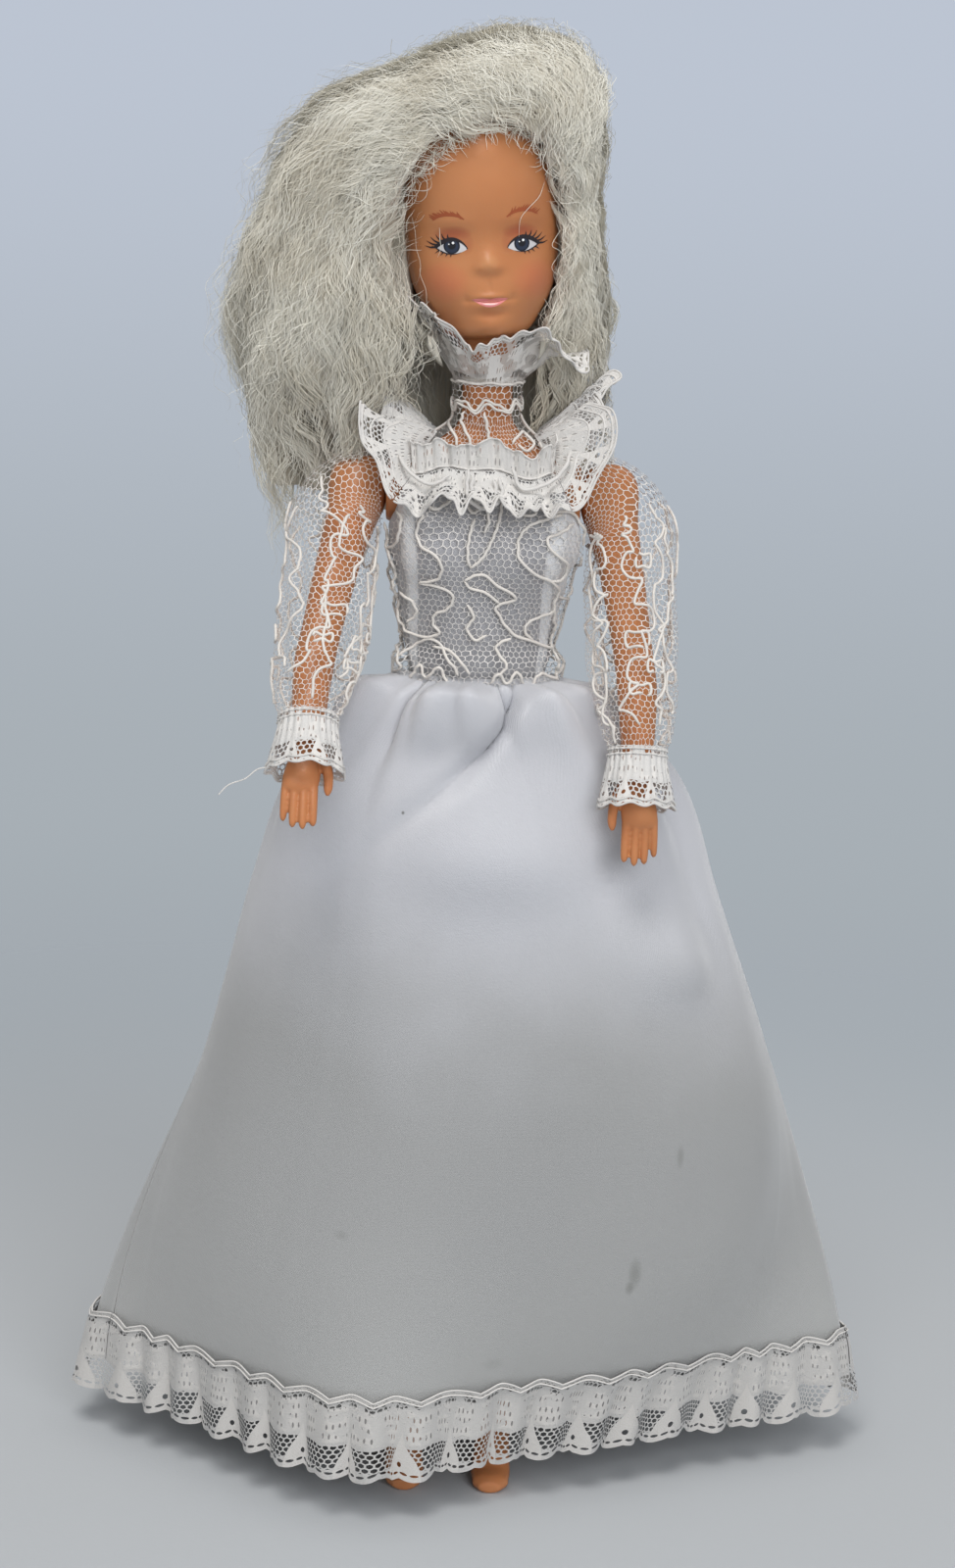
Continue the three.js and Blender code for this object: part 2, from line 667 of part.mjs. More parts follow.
function armSolid() {
  const wristZ = -(armLength - 2.2 * fingerLength);
  const bare = limbSolid(
    [
      [0, 0, shoulderCapRadius * 0.98, 1.5, 1.5],
      [0, 0, shoulderCapRadius * 0.8, shoulderCapRadius * 0.62, shoulderCapRadius * 0.6],
      [0, 0, shoulderCapRadius * 0.4, shoulderCapRadius * 0.86, shoulderCapRadius * 0.88],
      [0, 0, 0, shoulderCapRadius * 0.9, shoulderCapRadius * 0.95],
      [armOutset * 0.16, 0, wristZ * 0.12, shoulderCapRadius * 0.76, shoulderCapRadius * 0.82],
      [armOutset * 0.38, 0, wristZ * 0.24, armRadius * 1.08, armRadius * 1.12],
      [armOutset * 0.62, 0, wristZ * 0.41, armRadius, armRadius],
      [armOutset * 0.82, 0, wristZ * 0.56, armRadius * 0.95, armRadius * 0.95],
      [armOutset * 0.95, -handForward * 0.25, wristZ * 0.68, armRadius * 0.97, armRadius * 0.93],
      [armOutset, -handForward * 0.65, wristZ * 0.85, armRadius * 0.84, armRadius * 0.78],
      [armOutset, -handForward, wristZ, wristRadius, wristRadius * 0.82],
      [armOutset, -handForward, wristZ - fingerRadius, wristRadius, wristRadius * 0.8],
    ],
    12,
  );
  const trimmed = cut(bare, block([-far, armInnerFace], [-far, far], [-far, far]));
  const wallPass = bodyWall + 2 * fitGap;
  const neck = barAlongX(plugNeckRadius, armInnerFace - wallPass - 0.2, armInnerFace + 1, 0, 0, 16);
  const flangeFrom = armInnerFace - wallPass - plugFlangeThickness;
  const flangeRadius = shoulderBarrelRadius - bodyWall - fitGap;
  const flange = barAlongX(flangeRadius, flangeFrom, armInnerFace - wallPass, 0, 0, 16);
  return join(trimmed, handSolid(wristZ), neck, flange);
}

// Sleeve of corded lace. It leaves the armhole along X, bends down round the armpit and is
// gathered in at the wrist. Rows are depth along the arm, middle x, middle y, half width, half depth.
const armpitRadius = 0.7;
const wristRoom = 1.7; // between the wrist and the gathered end of the sleeve
const sleeveStart = armInnerFace + laceThickness;
const bendHalfWidth = sleeveHalfWidth + armpitRadius / 2;
const bendEnd = armholeRadius + armpitRadius;
const sleeveSection = through([
  [bendEnd, sleeveStart + armpitRadius + bendHalfWidth, 0, bendHalfWidth, sleeveHalfDepth],
  [bendEnd + sleeveEnd * 0.15, armOutset * 0.66, 0, sleeveHalfWidth * 1.02, sleeveHalfDepth],
  [sleeveEnd * 0.55, armOutset * 0.74, -handForward * 0.15, sleeveHalfWidth, sleeveHalfDepth],
  [sleeveEnd * 0.8, armOutset * 0.87, -handForward * 0.65, sleeveHalfWidth * 0.93, sleeveHalfDepth * 0.9],
  [sleeveEnd * 0.93, armOutset * 0.98, -handForward * 0.88, sleeveHalfWidth * 0.72, sleeveHalfDepth * 0.66],
  [sleeveEnd, armOutset, -handForward * 0.95, wristRadius + wristRoom, wristRadius + wristRoom],
]);
function sleevePoint(angle, v) {
  const [c, s] = [Math.cos(angle), Math.sin(angle)];
  if (v <= 0) {
    const bend = (v + 1) * quarter;
    const out = vector(Math.sin(bend), 0, Math.cos(bend));
    const half = mix(armholeRadius, bendHalfWidth, v + 1);
    return vector(sleeveStart, mix(armholeRadius, sleeveHalfDepth, v + 1) * s, -bendEnd).addScaledVector(
      out,
      armpitRadius + half * (1 + c),
    );
  }
  const down = mix(bendEnd, sleeveEnd, v);
  const [x, y, halfWidth, halfDepth] = sleeveSection(down);
  const fold = 1 + 0.035 * Math.cos(angle * 6) * smooth(0, 0.25, v) * (1 - smooth(0.8, 1, v));
  return vector(x + halfWidth * fold * c, y + halfDepth * fold * s, -down);
}
// Lace cuff: a band at the wrist that flares into a scalloped frill over the hand.
const cuffScallops = 8;
function cuffPoint(angle, v) {
  const scallop = Math.cos(angle * cuffScallops) * v;
  const radius = (wristRadius + wristRoom - 0.4 + cuffFlare * smooth(0.15, 1, v)) * (1 + 0.06 * scallop);
  const drop = sleeveEnd + fitGap + cuffLength * (v + 0.04 * scallop);
  const middle = -handForward * 0.975;
  return vector(armOutset + radius * 1.12 * Math.cos(angle), middle + radius * Math.sin(angle), -drop);
}
function addArm(side, name, swing) {
  const arm = new THREE.Group();
  arm.position.set(side * shoulderCentre, 0, shoulderHeight);
  arm.rotation.set(-swing * degree, 0, 0);
  doll.add(arm);
  piece(arm, `${name}_arm`, mirrored(armSolid(), side), vinyl);
  const sleeveLines = [...evenly(-1, 0, 3), 0.12, 0.3, 0.55, 0.78, 0.92, 1];
  const sleeve = sheetSolid(sleevePoint, evenly(0, turn, 16), sleeveLines, [-laceThickness, 0], true);
  piece(arm, `${name}_sleeve`, mirrored(sleeve, side), lace);
  const cuffLines = evenly(0, turn, cuffScallops * 3);
  const cuff = sheetSolid(cuffPoint, cuffLines, [0, 0.3, 1], [-laceThickness, 0], true);
  piece(arm, `${name}_cuff`, mirrored(cuff, side), lace);
}
addArm(-1, "right", rightArmSwing);
addArm(1, "left", leftArmSwing);

// A leg of soft vinyl over a hard core that turns on the hip pin.
const legInnerFace = hipWebHalfWidth + fitGap;
const coreOuterFace = legInnerFace + coreDiscThickness;
const coreRodX = coreOuterFace - coreRodRadius;
function legSolid() {
  const shin = kneeHeight - ankleHeight;
  const cap = barAlongX(hipJointRadius, legInnerFace, hipHalfWidth * 0.96, 0, hipHeight);
  const limb = limbSolid(
    [
      [legSpacing * 1.135, 0, hipHeight, thighRadius * 0.9, hipJointRadius * 0.97],
      [legSpacing * 1.125, 0, hipHeight - thighRadius * 1.69, thighRadius, thighRadius * 1.08],
      [legSpacing * 1.063, 0, mix(hipHeight, kneeHeight, 0.5), thighRadius * 0.88, thighRadius * 0.92],
      [legSpacing, -kneeRadius * 0.17, kneeHeight + shin * 0.11, kneeRadius * 1.04, kneeRadius * 1.06],
      [legSpacing, -kneeRadius * 0.14, kneeHeight - shin * 0.11, kneeRadius * 0.96, kneeRadius],
      [legSpacing, calfRadius * 0.2, kneeHeight - shin * 0.4, calfRadius, calfRadius * 1.12],
      [legSpacing, calfRadius * 0.16, kneeHeight - shin * 0.69, calfRadius * 0.8, calfRadius * 0.86],
      [legSpacing, ankleRadius * 0.2, ankleHeight, ankleRadius, ankleRadius * 1.15],
      [legSpacing, ankleRadius * 0.17, ankleHeight * 0.74, ankleRadius, ankleRadius * 1.4],
      [legSpacing, -footReach * 0.09, ankleHeight * 0.53, ankleRadius * 1.02, ankleRadius * 1.5],
      [legSpacing, -footReach * 0.357, ankleHeight * 0.29, ankleRadius * 1.12, ankleRadius * 0.95],
      [legSpacing * 0.99, -footReach * 0.625, ankleHeight * 0.104, ankleRadius * 1.25, ankleRadius * 0.64],
      [legSpacing * 0.98, -footReach * 0.863, ankleHeight * 0.065, ankleRadius * 1.15, ankleRadius * 0.6],
      [legSpacing * 0.97, -footReach, ankleHeight * 0.057, ankleRadius * 0.7, ankleRadius * 0.36],
    ],
    12,
  );
  const innerReach = legInnerFace - 1;
  const rodHoleRadius = coreRodRadius + fitGap;
  return cut(
    join(cap, limb),
    block([-far, legInnerFace], [-far, far], [pelvisBottom - 5, far]),
    barAlongX(coreDiscRadius + fitGap, innerReach, coreOuterFace + fitGap, 0, hipHeight, 16),
    uprightBar(rodHoleRadius, coreBottom - fitGap, hipHeight, coreRodX, 0, 8),
    barAlongX(hipPinRadius + fitGap, 0, legSpacing + 1, 0, hipHeight, 12),
    block([-far, far], [-far, far], [-far, 0]),
  );
}
function coreSolid() {
  const disc = barAlongX(coreDiscRadius, legInnerFace, coreOuterFace, 0, hipHeight, 16);
  const rod = uprightBar(coreRodRadius, coreBottom, hipHeight - hipPinRadius - 2, coreRodX, 0, 8);
  return cut(join(disc, rod), barAlongX(hipPinRadius + fitGap, 0, far, 0, hipHeight, 12));
}
["right", "left"].forEach((name, i) => {
  const side = i ? 1 : -1;
  piece(doll, `${name}_leg`, mirrored(legSolid(), side), vinyl);
  piece(doll, `${name}_leg_core`, mirrored(coreSolid(), side), innerPlastic);
});

// Cloth layers on the body, each as offsets from the skin.
const satinInside = fitGap;
const satinOutside = satinInside + satinThickness;
const laceInside = satinOutside + fitGap;
const laceOutside = laceInside + laceThickness;
const bandInside = laceOutside + 1.5 * fitGap;
const waistBandBottom = waistHeight - bandHeight / 2;
const armholeCut = armholeRadius + laceThickness + fitGap;
const armholes = [-1, 1].map((side) =>
  barAlongX(armholeCut, side * shoulderHalfWidth * 0.7, side * far, 0, shoulderHeight),
);
const seamAngle = seamGap / bustHalfWidth / 2;
const frontSpan = [seamAngle - quarter, quarter - seamAngle];
const backLeftSpan = [quarter + seamAngle, 2 * quarter - seamAngle];
const backRightSpan = [2 * quarter + seamAngle, 3 * quarter - seamAngle];

// Satin bodice: a strapless front and two backs that meet behind.
function bodicePanel(span) {
  return cut(bodyLayer(span, [waistBandBottom, bodiceTopHeight], [satinInside, satinOutside]), ...armholes);
}
piece(doll, "bodice_front", bodicePanel(frontSpan), satin);
piece(doll, "bodice_back_left", bodicePanel(backLeftSpan), satin);
piece(doll, "bodice_back_right", bodicePanel(backRightSpan), satin);

// Corded lace over the satin, the chest and the shoulders, up to the neck band.
const neckBandBottom = neckBaseHeight + 3;
function lacePanel(span) {
  const heights = [waistBandBottom, neckBandBottom - fitGap - laceThickness];
  return cut(bodyLayer(span, heights, [laceInside, laceOutside]), ...armholes);
}
piece(doll, "lace_front", lacePanel(frontSpan), lace);
piece(doll, "lace_back_left", lacePanel(backLeftSpan), lace);
piece(doll, "lace_back_right", lacePanel(backRightSpan), lace);

// A band whose ends lap over each other behind, with room for a press stud between them.
const snapBulge = snapRadius ** 2 / (2 * neckRadius);
const lapGap = 2 * snapThickness + 3 * fitGap + snapBulge;
function bandPoint(low, inside, angle, v) {
  const base = wrappedBody(angle, low + bandHeight * v);
  const outward = vector(base.x, base.y, 0).normalize();
  const rise = (bandThickness + lapGap) * smooth(quarter * 0.4, quarter * 1.5, angle);
  return base.addScaledVector(outward, inside + rise);
}
function lappedBand(low, inside, lapAngle) {
  const surface = (angle, v) => bandPoint(low, inside, angle, v);
  const us = linesBetween(-2 * quarter, 2 * quarter + lapAngle, bodyLines, 0.05);
  return sheetSolid(surface, us, [0, 1], [0, bandThickness]);
}
function snapDisc(dome) {
  const flat = new THREE.CylinderGeometry(snapRadius, snapRadius, snapThickness, 14);
  const boss = new THREE.CylinderGeometry(snapRadius * 0.4, snapRadius * 0.4, fitGap * 1.6, 10);
  const hole = new THREE.CylinderGeometry(snapRadius * 0.65, snapRadius * 0.65, snapThickness * 3, 10);
  return dome ? join(flat, boss.translate(0, snapThickness / 2, 0)) : cut(flat, hole);
}
function addSnaps(name, low, inside, lapAngle) {
  const base = wrappedBody(2 * quarter + lapAngle / 2, low + bandHeight / 2);
  const outward = vector(base.x, base.y, 0).normalize();
  const facing = new THREE.Quaternion().setFromUnitVectors(vector(0, 1, 0), outward);
  [
    ["stud", fitGap, true],
    ["socket", 2 * fitGap + snapThickness, false],
  ].forEach(([kind, from, dome]) => {
    const centre = base.clone().addScaledVector(outward, inside + bandThickness + from + snapThickness / 2);
    const disc = snapDisc(dome).applyQuaternion(facing).translate(...centre.toArray());
    piece(doll, `${name}_snap_${kind}`, disc, steel);
  });
}
piece(doll, "waist_band", lappedBand(waistBandBottom, bandInside, waistLap), satin);
addSnaps("waist", waistBandBottom, bandInside, waistLap);
piece(doll, "neck_band", lappedBand(neckBandBottom, fitGap, neckLap), lace);
addSnaps("neck", neckBandBottom, fitGap, neckLap);

// Standing lace collar, flared round the jaw and dipping under the chin.
const collarBottom = neckBandBottom + bandHeight + fitGap + collarThickness;
const collarRoot = neckRadius + fitGap + bandThickness + lapGap + bandThickness / 2;
const collarWaves = 11;
function collarPoint(angle, v) {
  const sway = Math.cos(angle * collarWaves) * v;
  const dip = collarHeight * 0.3 * bump(wrapAngle(angle), 0, 0.5);
  const radius = mix(collarRoot, collarReach, v ** 0.8) + 0.8 * sway;
  const z = collarBottom + (collarHeight - dip) * v ** 1.35 + 0.5 * Math.sin(angle * collarWaves) * v;
  return vector(radius * Math.sin(angle), -radius * Math.cos(angle), z);
}
const collarLines = evenly(0, turn, collarWaves * 3);
const collar = sheetSolid(collarPoint, collarLines, evenly(0, 1, 3), [0, collarThickness], true);
piece(doll, "collar_ruffle", collar, lace);

// Wide lace flounce round the shoulders. The parts over the arms are pieces of their own. It falls
// forward and down over the bust, and stands out over the sleeves, higher on the doll's left.
const flounceWaves = 15;
const flounceSeamFront = bodiceTopHeight - 1;
const flounceSeamSide = neckBaseHeight - 2.4;
function flouncePoint(angle, v) {
  const turned = wrapAngle(angle);
  const side = smooth(0.68, 0.95, Math.abs(Math.sin(turned)));
  const seamZ = mix(flounceSeamFront, flounceSeamSide, side);
  const base = wrappedBody(angle, seamZ);
  base.addScaledVector(normalAt(wrappedBody, angle, seamZ), laceOutside + fitGap);
  const outward = vector(base.x * mix(0.15, 1, side), base.y, 0).normalize();
  const slope = mix(-38, turned > 0 ? flounceLeftSlope : flounceRightSlope, side) * degree;
  const sway = Math.cos(angle * flounceWaves) * v;
  const reach = mix(flounceWidth, flounceShoulderWidth, side) * v + 0.7 * sway;
  return base
    .addScaledVector(outward, reach * Math.cos(slope))
    .add(vector(0, 0, reach * Math.sin(slope) + 0.6 * sway - 2.5 * side * v ** 3));
}
const flounceGap = 0.02;
[
  ["flounce_front", -shoulderAngle, shoulderAngle, 24],
  ["flounce_left_shoulder", shoulderAngle, Math.PI - shoulderAngle, 14],
  ["flounce_back", Math.PI - shoulderAngle, Math.PI + shoulderAngle, 20],
  ["flounce_right_shoulder", Math.PI + shoulderAngle, turn - shoulderAngle, 14],
].forEach(([name, from, to, steps]) => {
  const us = evenly(from + flounceGap, to - flounceGap, steps);
  piece(doll, name, sheetSolid(flouncePoint, us, evenly(0, 1, 3), [-flounceThickness, 0]), lace);
});

// Skirt: plans at rising depths. The hem's plan is read from the front apex round the doll's left.
const hemPlan = new THREE.CatmullRomCurve3(
  [
    [-0.18, -skirtFrontDepth],
    [0.24, -skirtFrontDepth * 0.56],
    [0.64, 0],
    [0.93, skirtBackDepth * 0.25],
    [1.06, skirtBackDepth * 0.45],
    [0.91, skirtBackDepth * 0.72],
    [0.53, skirtBackDepth * 0.93],
    [0, skirtBackDepth],
    [-0.52, skirtBackDepth * 0.9],
    [-0.84, skirtBackDepth * 0.66],
    [-0.95, skirtBackDepth * 0.38],
    [-0.8, skirtBackDepth * 0.05],
    [-0.52, -skirtFrontDepth * 0.52],
  ].map(([x, y]) => vector(x * skirtHalfWidth, y, 0)),
  true,
  "centripetal",
);
// Rows are share of the way down, then shares of the hem's half width, its depth in front, its depth
// behind and its offset.
const skirtSection = through([
  [0, 0, 0, 0, 0],
  [0.04, 0.108, 0.103, 0.114, 0.14],
  [0.13, 0.285, 0.262, 0.295, 0.5],
  [0.27, 0.395, 0.368, 0.409, 0.85],
  [0.42, 0.482, 0.443, 0.515, 1.45],
  [0.57, 0.552, 0.513, 0.6, 1.9],
  [0.73, 0.622, 0.585, 0.67, 1.8],
  [1, 0.73, 0.677, 0.75, 1.5],
]);
const skirtTop = waistBandBottom - fitGap - skirtThickness;
const trimLow = (u) => hemLift * (1 - smooth(0.36, 0.47, u) * (1 - smooth(0.61, 0.72, u)));
function skirtPoint(share, v) {
  const u = share - Math.floor(share);
  const rim = hemPlan.getPointAt(u);
  const angle = Math.atan2(rim.x / skirtHalfWidth, -(rim.y - 4) / skirtBackDepth);
  const base = wrappedBody(angle, skirtTop);
  const outward = vector(base.x, base.y, 0).normalize();
  base.addScaledVector(outward, bandInside + fitGap);
  const [widen, deepen, deepenBack, offset] = skirtSection(v);
  const depth = Math.cos(angle) > 0 ? skirtFrontDepth * deepen : skirtBackDepth * deepenBack;
  const round = vector(
    base.x + skirtHalfWidth * widen * squared(Math.sin(angle)) + skirtOffset * offset,
    base.y - depth * squared(Math.cos(angle)),
    0,
  );
  const fadeIn = smooth(0.02, 0.12, v) * (1 - smooth(0.1, 0.55, v));
  const gather = gatherDepth * Math.cos(u * turn * skirtGathers) * fadeIn;
  const sway = skirtSway * Math.cos(u * turn * 5 + 1.2) * smooth(0.3, 1, v);
  const towardsHem = (Math.max(v - 0.3, 0) / 0.7) ** 2.2;
  round.lerp(rim, towardsHem).addScaledVector(outward, gather + sway);
  round.z = mix(skirtTop, trimLow(u) + skirtHemHeight, v);
  return round;
}
const sideSeams = [0.305, 0.805]; // shares of the hem where front and back panels meet
const seamShare = seamGap / 2 / hemPlan.getLength();
const skirtLines = [0, 0.04, 0.1, 0.19, 0.3, 0.44, 0.6, 0.78, 1];
const skirtShares = (from, to, steps) => evenly(from + seamShare, to - seamShare, steps);
const skirtPanel = (shares) => sheetSolid(skirtPoint, shares, skirtLines, [-skirtThickness, 0]);
piece(doll, "skirt_front", skirtPanel(skirtShares(sideSeams[1] - 1, sideSeams[0], 32)), satin);
piece(doll, "skirt_back", skirtPanel(skirtShares(sideSeams[0], sideSeams[1], 32)), satin);

// Gathered lace trim round the hem, sewn outside the satin.
function trimPoint(share, v) {
  const u = share - Math.floor(share);
  const hem = skirtPoint(u, 1);
  const above = skirtPoint(u, 0.9);
  const slope = hem.clone().sub(above).divideScalar(above.z - hem.z);
  const low = trimLow(u);
  const z = mix(low + trimHeight, low, v);
  const below = hem.z - z;
  const onSkirt = hem.clone().addScaledVector(slope, below > 0 ? 0.4 * below : below); // the lace hangs steeper
  const inward = normalAt(skirtPoint, u, 1, 0, 1);
  inward.z = 0;
  const wave = trimWave * (0.35 + 0.65 * v) * (1 + Math.cos(u * turn * trimWaves));
  const offset = skirtThickness + fitGap + 0.3 + wave;
  return onSkirt.setZ(z).addScaledVector(inward.normalize(), -offset);
}
function trimPanel(shares) {
  const hanging = sheetSolid(trimPoint, shares, [0, 0.5, 1], [-trimThickness, 0]);
  return cut(hanging, block([-far, far], [-far, far], [-far, 0]));
}
piece(doll, "hem_trim_front", trimPanel(skirtShares(sideSeams[1] - 1, sideSeams[0], 52)), lace);
piece(doll, "hem_trim_back", trimPanel(skirtShares(sideSeams[0], sideSeams[1], 52)), lace);

// The origin is under the middle of the whole doll, on the surface that it stands on.
const standing = new THREE.Group();
standing.add(doll);
standing.updateMatrixWorld(true);
const whole = new THREE.Box3().setFromObject(standing, true);
doll.position.set(-(whole.min.x + whole.max.x) / 2, -(whole.min.y + whole.max.y) / 2, -whole.min.z);

export default standing;
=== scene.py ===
# The bride doll's looks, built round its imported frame: vinyl skin, painted face, rooted hair, satin and lace.
import json
import math
import bmesh
import bpy
import numpy as np
from mathutils import Matrix, Vector
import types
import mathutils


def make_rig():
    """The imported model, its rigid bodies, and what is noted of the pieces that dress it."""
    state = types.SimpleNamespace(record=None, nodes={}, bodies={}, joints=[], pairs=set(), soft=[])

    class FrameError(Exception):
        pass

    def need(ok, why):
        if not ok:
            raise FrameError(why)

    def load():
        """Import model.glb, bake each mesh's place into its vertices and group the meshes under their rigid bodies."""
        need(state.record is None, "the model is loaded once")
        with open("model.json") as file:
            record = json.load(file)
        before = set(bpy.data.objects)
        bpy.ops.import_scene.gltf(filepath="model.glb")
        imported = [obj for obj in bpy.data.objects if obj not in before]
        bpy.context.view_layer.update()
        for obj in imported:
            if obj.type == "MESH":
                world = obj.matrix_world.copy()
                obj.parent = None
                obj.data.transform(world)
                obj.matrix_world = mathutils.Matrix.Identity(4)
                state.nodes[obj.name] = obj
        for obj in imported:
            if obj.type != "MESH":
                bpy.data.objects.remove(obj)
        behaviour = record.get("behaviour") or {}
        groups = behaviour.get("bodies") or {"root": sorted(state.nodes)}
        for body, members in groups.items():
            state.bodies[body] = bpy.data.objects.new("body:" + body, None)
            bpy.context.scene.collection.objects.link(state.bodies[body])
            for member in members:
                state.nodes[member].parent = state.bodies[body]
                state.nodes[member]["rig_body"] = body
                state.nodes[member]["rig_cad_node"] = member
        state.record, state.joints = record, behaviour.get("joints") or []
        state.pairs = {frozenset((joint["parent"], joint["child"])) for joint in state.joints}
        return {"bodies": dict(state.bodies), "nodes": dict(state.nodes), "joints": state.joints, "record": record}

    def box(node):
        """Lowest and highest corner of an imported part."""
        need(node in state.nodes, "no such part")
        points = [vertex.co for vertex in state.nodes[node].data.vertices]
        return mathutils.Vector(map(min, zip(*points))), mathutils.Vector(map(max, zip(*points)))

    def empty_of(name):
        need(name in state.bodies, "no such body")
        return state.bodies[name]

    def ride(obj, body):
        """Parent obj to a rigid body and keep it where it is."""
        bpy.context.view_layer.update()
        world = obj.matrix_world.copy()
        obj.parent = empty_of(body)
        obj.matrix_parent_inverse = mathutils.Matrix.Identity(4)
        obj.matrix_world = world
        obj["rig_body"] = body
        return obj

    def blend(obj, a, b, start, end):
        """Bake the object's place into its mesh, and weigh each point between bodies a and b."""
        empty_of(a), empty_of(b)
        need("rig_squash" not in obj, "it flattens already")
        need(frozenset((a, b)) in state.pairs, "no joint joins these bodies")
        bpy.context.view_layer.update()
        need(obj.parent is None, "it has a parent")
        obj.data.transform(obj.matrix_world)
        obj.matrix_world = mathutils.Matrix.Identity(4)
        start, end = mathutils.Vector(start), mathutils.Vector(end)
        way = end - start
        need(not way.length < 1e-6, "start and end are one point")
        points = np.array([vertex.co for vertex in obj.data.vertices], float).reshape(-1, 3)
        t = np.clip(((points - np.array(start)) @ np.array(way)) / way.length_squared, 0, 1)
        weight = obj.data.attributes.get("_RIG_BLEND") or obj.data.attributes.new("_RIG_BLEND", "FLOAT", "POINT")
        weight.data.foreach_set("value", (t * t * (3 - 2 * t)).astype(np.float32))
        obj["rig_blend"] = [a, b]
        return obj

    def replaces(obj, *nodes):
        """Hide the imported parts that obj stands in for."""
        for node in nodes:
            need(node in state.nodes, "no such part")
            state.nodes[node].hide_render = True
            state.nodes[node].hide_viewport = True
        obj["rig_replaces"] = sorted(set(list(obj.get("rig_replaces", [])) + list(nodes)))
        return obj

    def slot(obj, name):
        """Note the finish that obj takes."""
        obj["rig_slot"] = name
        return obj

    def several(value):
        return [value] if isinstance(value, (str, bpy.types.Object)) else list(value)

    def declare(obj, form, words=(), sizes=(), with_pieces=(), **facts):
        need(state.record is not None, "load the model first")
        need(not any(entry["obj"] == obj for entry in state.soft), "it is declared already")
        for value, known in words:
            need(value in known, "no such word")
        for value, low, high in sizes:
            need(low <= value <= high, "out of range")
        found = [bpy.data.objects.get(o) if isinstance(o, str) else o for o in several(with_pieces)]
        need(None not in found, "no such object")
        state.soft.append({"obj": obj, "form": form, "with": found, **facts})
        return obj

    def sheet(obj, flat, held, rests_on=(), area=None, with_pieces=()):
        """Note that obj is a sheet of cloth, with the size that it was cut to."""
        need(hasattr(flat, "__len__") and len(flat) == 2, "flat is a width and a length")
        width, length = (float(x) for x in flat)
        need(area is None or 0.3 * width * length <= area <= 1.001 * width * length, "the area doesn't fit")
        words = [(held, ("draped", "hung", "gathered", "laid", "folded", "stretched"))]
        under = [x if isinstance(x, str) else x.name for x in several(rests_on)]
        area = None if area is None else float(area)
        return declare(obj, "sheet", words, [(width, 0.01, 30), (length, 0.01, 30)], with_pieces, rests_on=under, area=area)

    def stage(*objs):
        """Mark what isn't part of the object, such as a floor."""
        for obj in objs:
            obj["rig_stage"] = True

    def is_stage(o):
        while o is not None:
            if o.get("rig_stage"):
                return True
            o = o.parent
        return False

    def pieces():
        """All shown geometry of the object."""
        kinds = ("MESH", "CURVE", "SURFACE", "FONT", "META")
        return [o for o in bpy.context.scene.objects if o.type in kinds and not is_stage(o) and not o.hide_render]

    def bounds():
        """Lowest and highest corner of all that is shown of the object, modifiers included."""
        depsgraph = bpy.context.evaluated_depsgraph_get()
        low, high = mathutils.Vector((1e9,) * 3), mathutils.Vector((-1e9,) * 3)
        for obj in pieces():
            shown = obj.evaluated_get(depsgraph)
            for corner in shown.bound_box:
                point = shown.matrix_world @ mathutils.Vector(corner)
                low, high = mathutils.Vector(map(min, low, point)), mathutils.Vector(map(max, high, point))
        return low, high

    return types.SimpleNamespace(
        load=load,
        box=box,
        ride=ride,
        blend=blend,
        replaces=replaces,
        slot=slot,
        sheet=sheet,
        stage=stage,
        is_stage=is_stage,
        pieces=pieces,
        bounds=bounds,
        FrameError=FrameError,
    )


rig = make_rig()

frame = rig.load()
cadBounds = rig.bounds()
bpy.ops.object.select_all(action="DESELECT")

# Shapes below are in millimetres from the doll's own middle line, which the hip pin marks.
pinLow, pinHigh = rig.box("hip_pin")
dollMiddle = np.array([500 * (pinLow.x + pinHigh.x), 500 * (pinLow.y + pinHigh.y), 0.0])
turn = 2 * math.pi
quarter = math.pi / 2

# ---- Camera, lamps and floor
photo = {
    "cameraAt": (1.0, -703.0, 302.0),
    "pitch": math.radians(11.9),
    "roll": math.radians(2.15),
    "lens": 77.56,
    "keyPower": 43.0,
    "fillPower": 36.0,
    "skyStrength": 0.40,
}


def setUpCamera():
    ahead = Vector((0, math.cos(photo["pitch"]), -math.sin(photo["pitch"])))
    over = Vector((0, math.sin(photo["pitch"]), math.cos(photo["pitch"])))
    level = Vector((1, 0, 0))
    across = level * math.cos(photo["roll"]) + over * math.sin(photo["roll"])
    upward = over * math.cos(photo["roll"]) - level * math.sin(photo["roll"])
    bpy.ops.object.camera_add()
    camera = bpy.context.object
    camera.name = "photoCamera"
    camera.data.lens = photo["lens"]
    camera.data.sensor_width = 36
    camera.data.clip_start = 0.01
    placed = Matrix((across, upward, -ahead)).transposed().to_4x4()
    placed.translation = (Vector(photo["cameraAt"]) + Vector(dollMiddle)) / 1000
    camera.matrix_world = placed
    bpy.context.scene.camera = camera


def addLamp(name, at, aimedAt, size, power, colour):
    bpy.ops.object.light_add(type="AREA", location=at)
    lamp = bpy.context.object
    lamp.name = name
    lamp.data.shape = "DISK"
    lamp.data.size = size
    lamp.data.energy = power
    lamp.data.color = colour
    lamp.rotation_euler = (Vector(aimedAt) - Vector(at)).to_track_quat("-Z", "Y").to_euler()
    return lamp


setUpCamera()
addLamp("keyLamp", (-0.35, -1.35, 2.75), (0, 0, 0.12), 1.3, photo["keyPower"], (1.0, 0.99, 0.97))
fill = addLamp("fillLamp", (0.85, -2.3, 1.15), (0, 0, 0.15), 1.6, photo["fillPower"], (0.93, 0.96, 1.0))
fill.visible_glossy = False  # it only lifts the shadows
bpy.context.scene.view_settings.view_transform = "Standard"


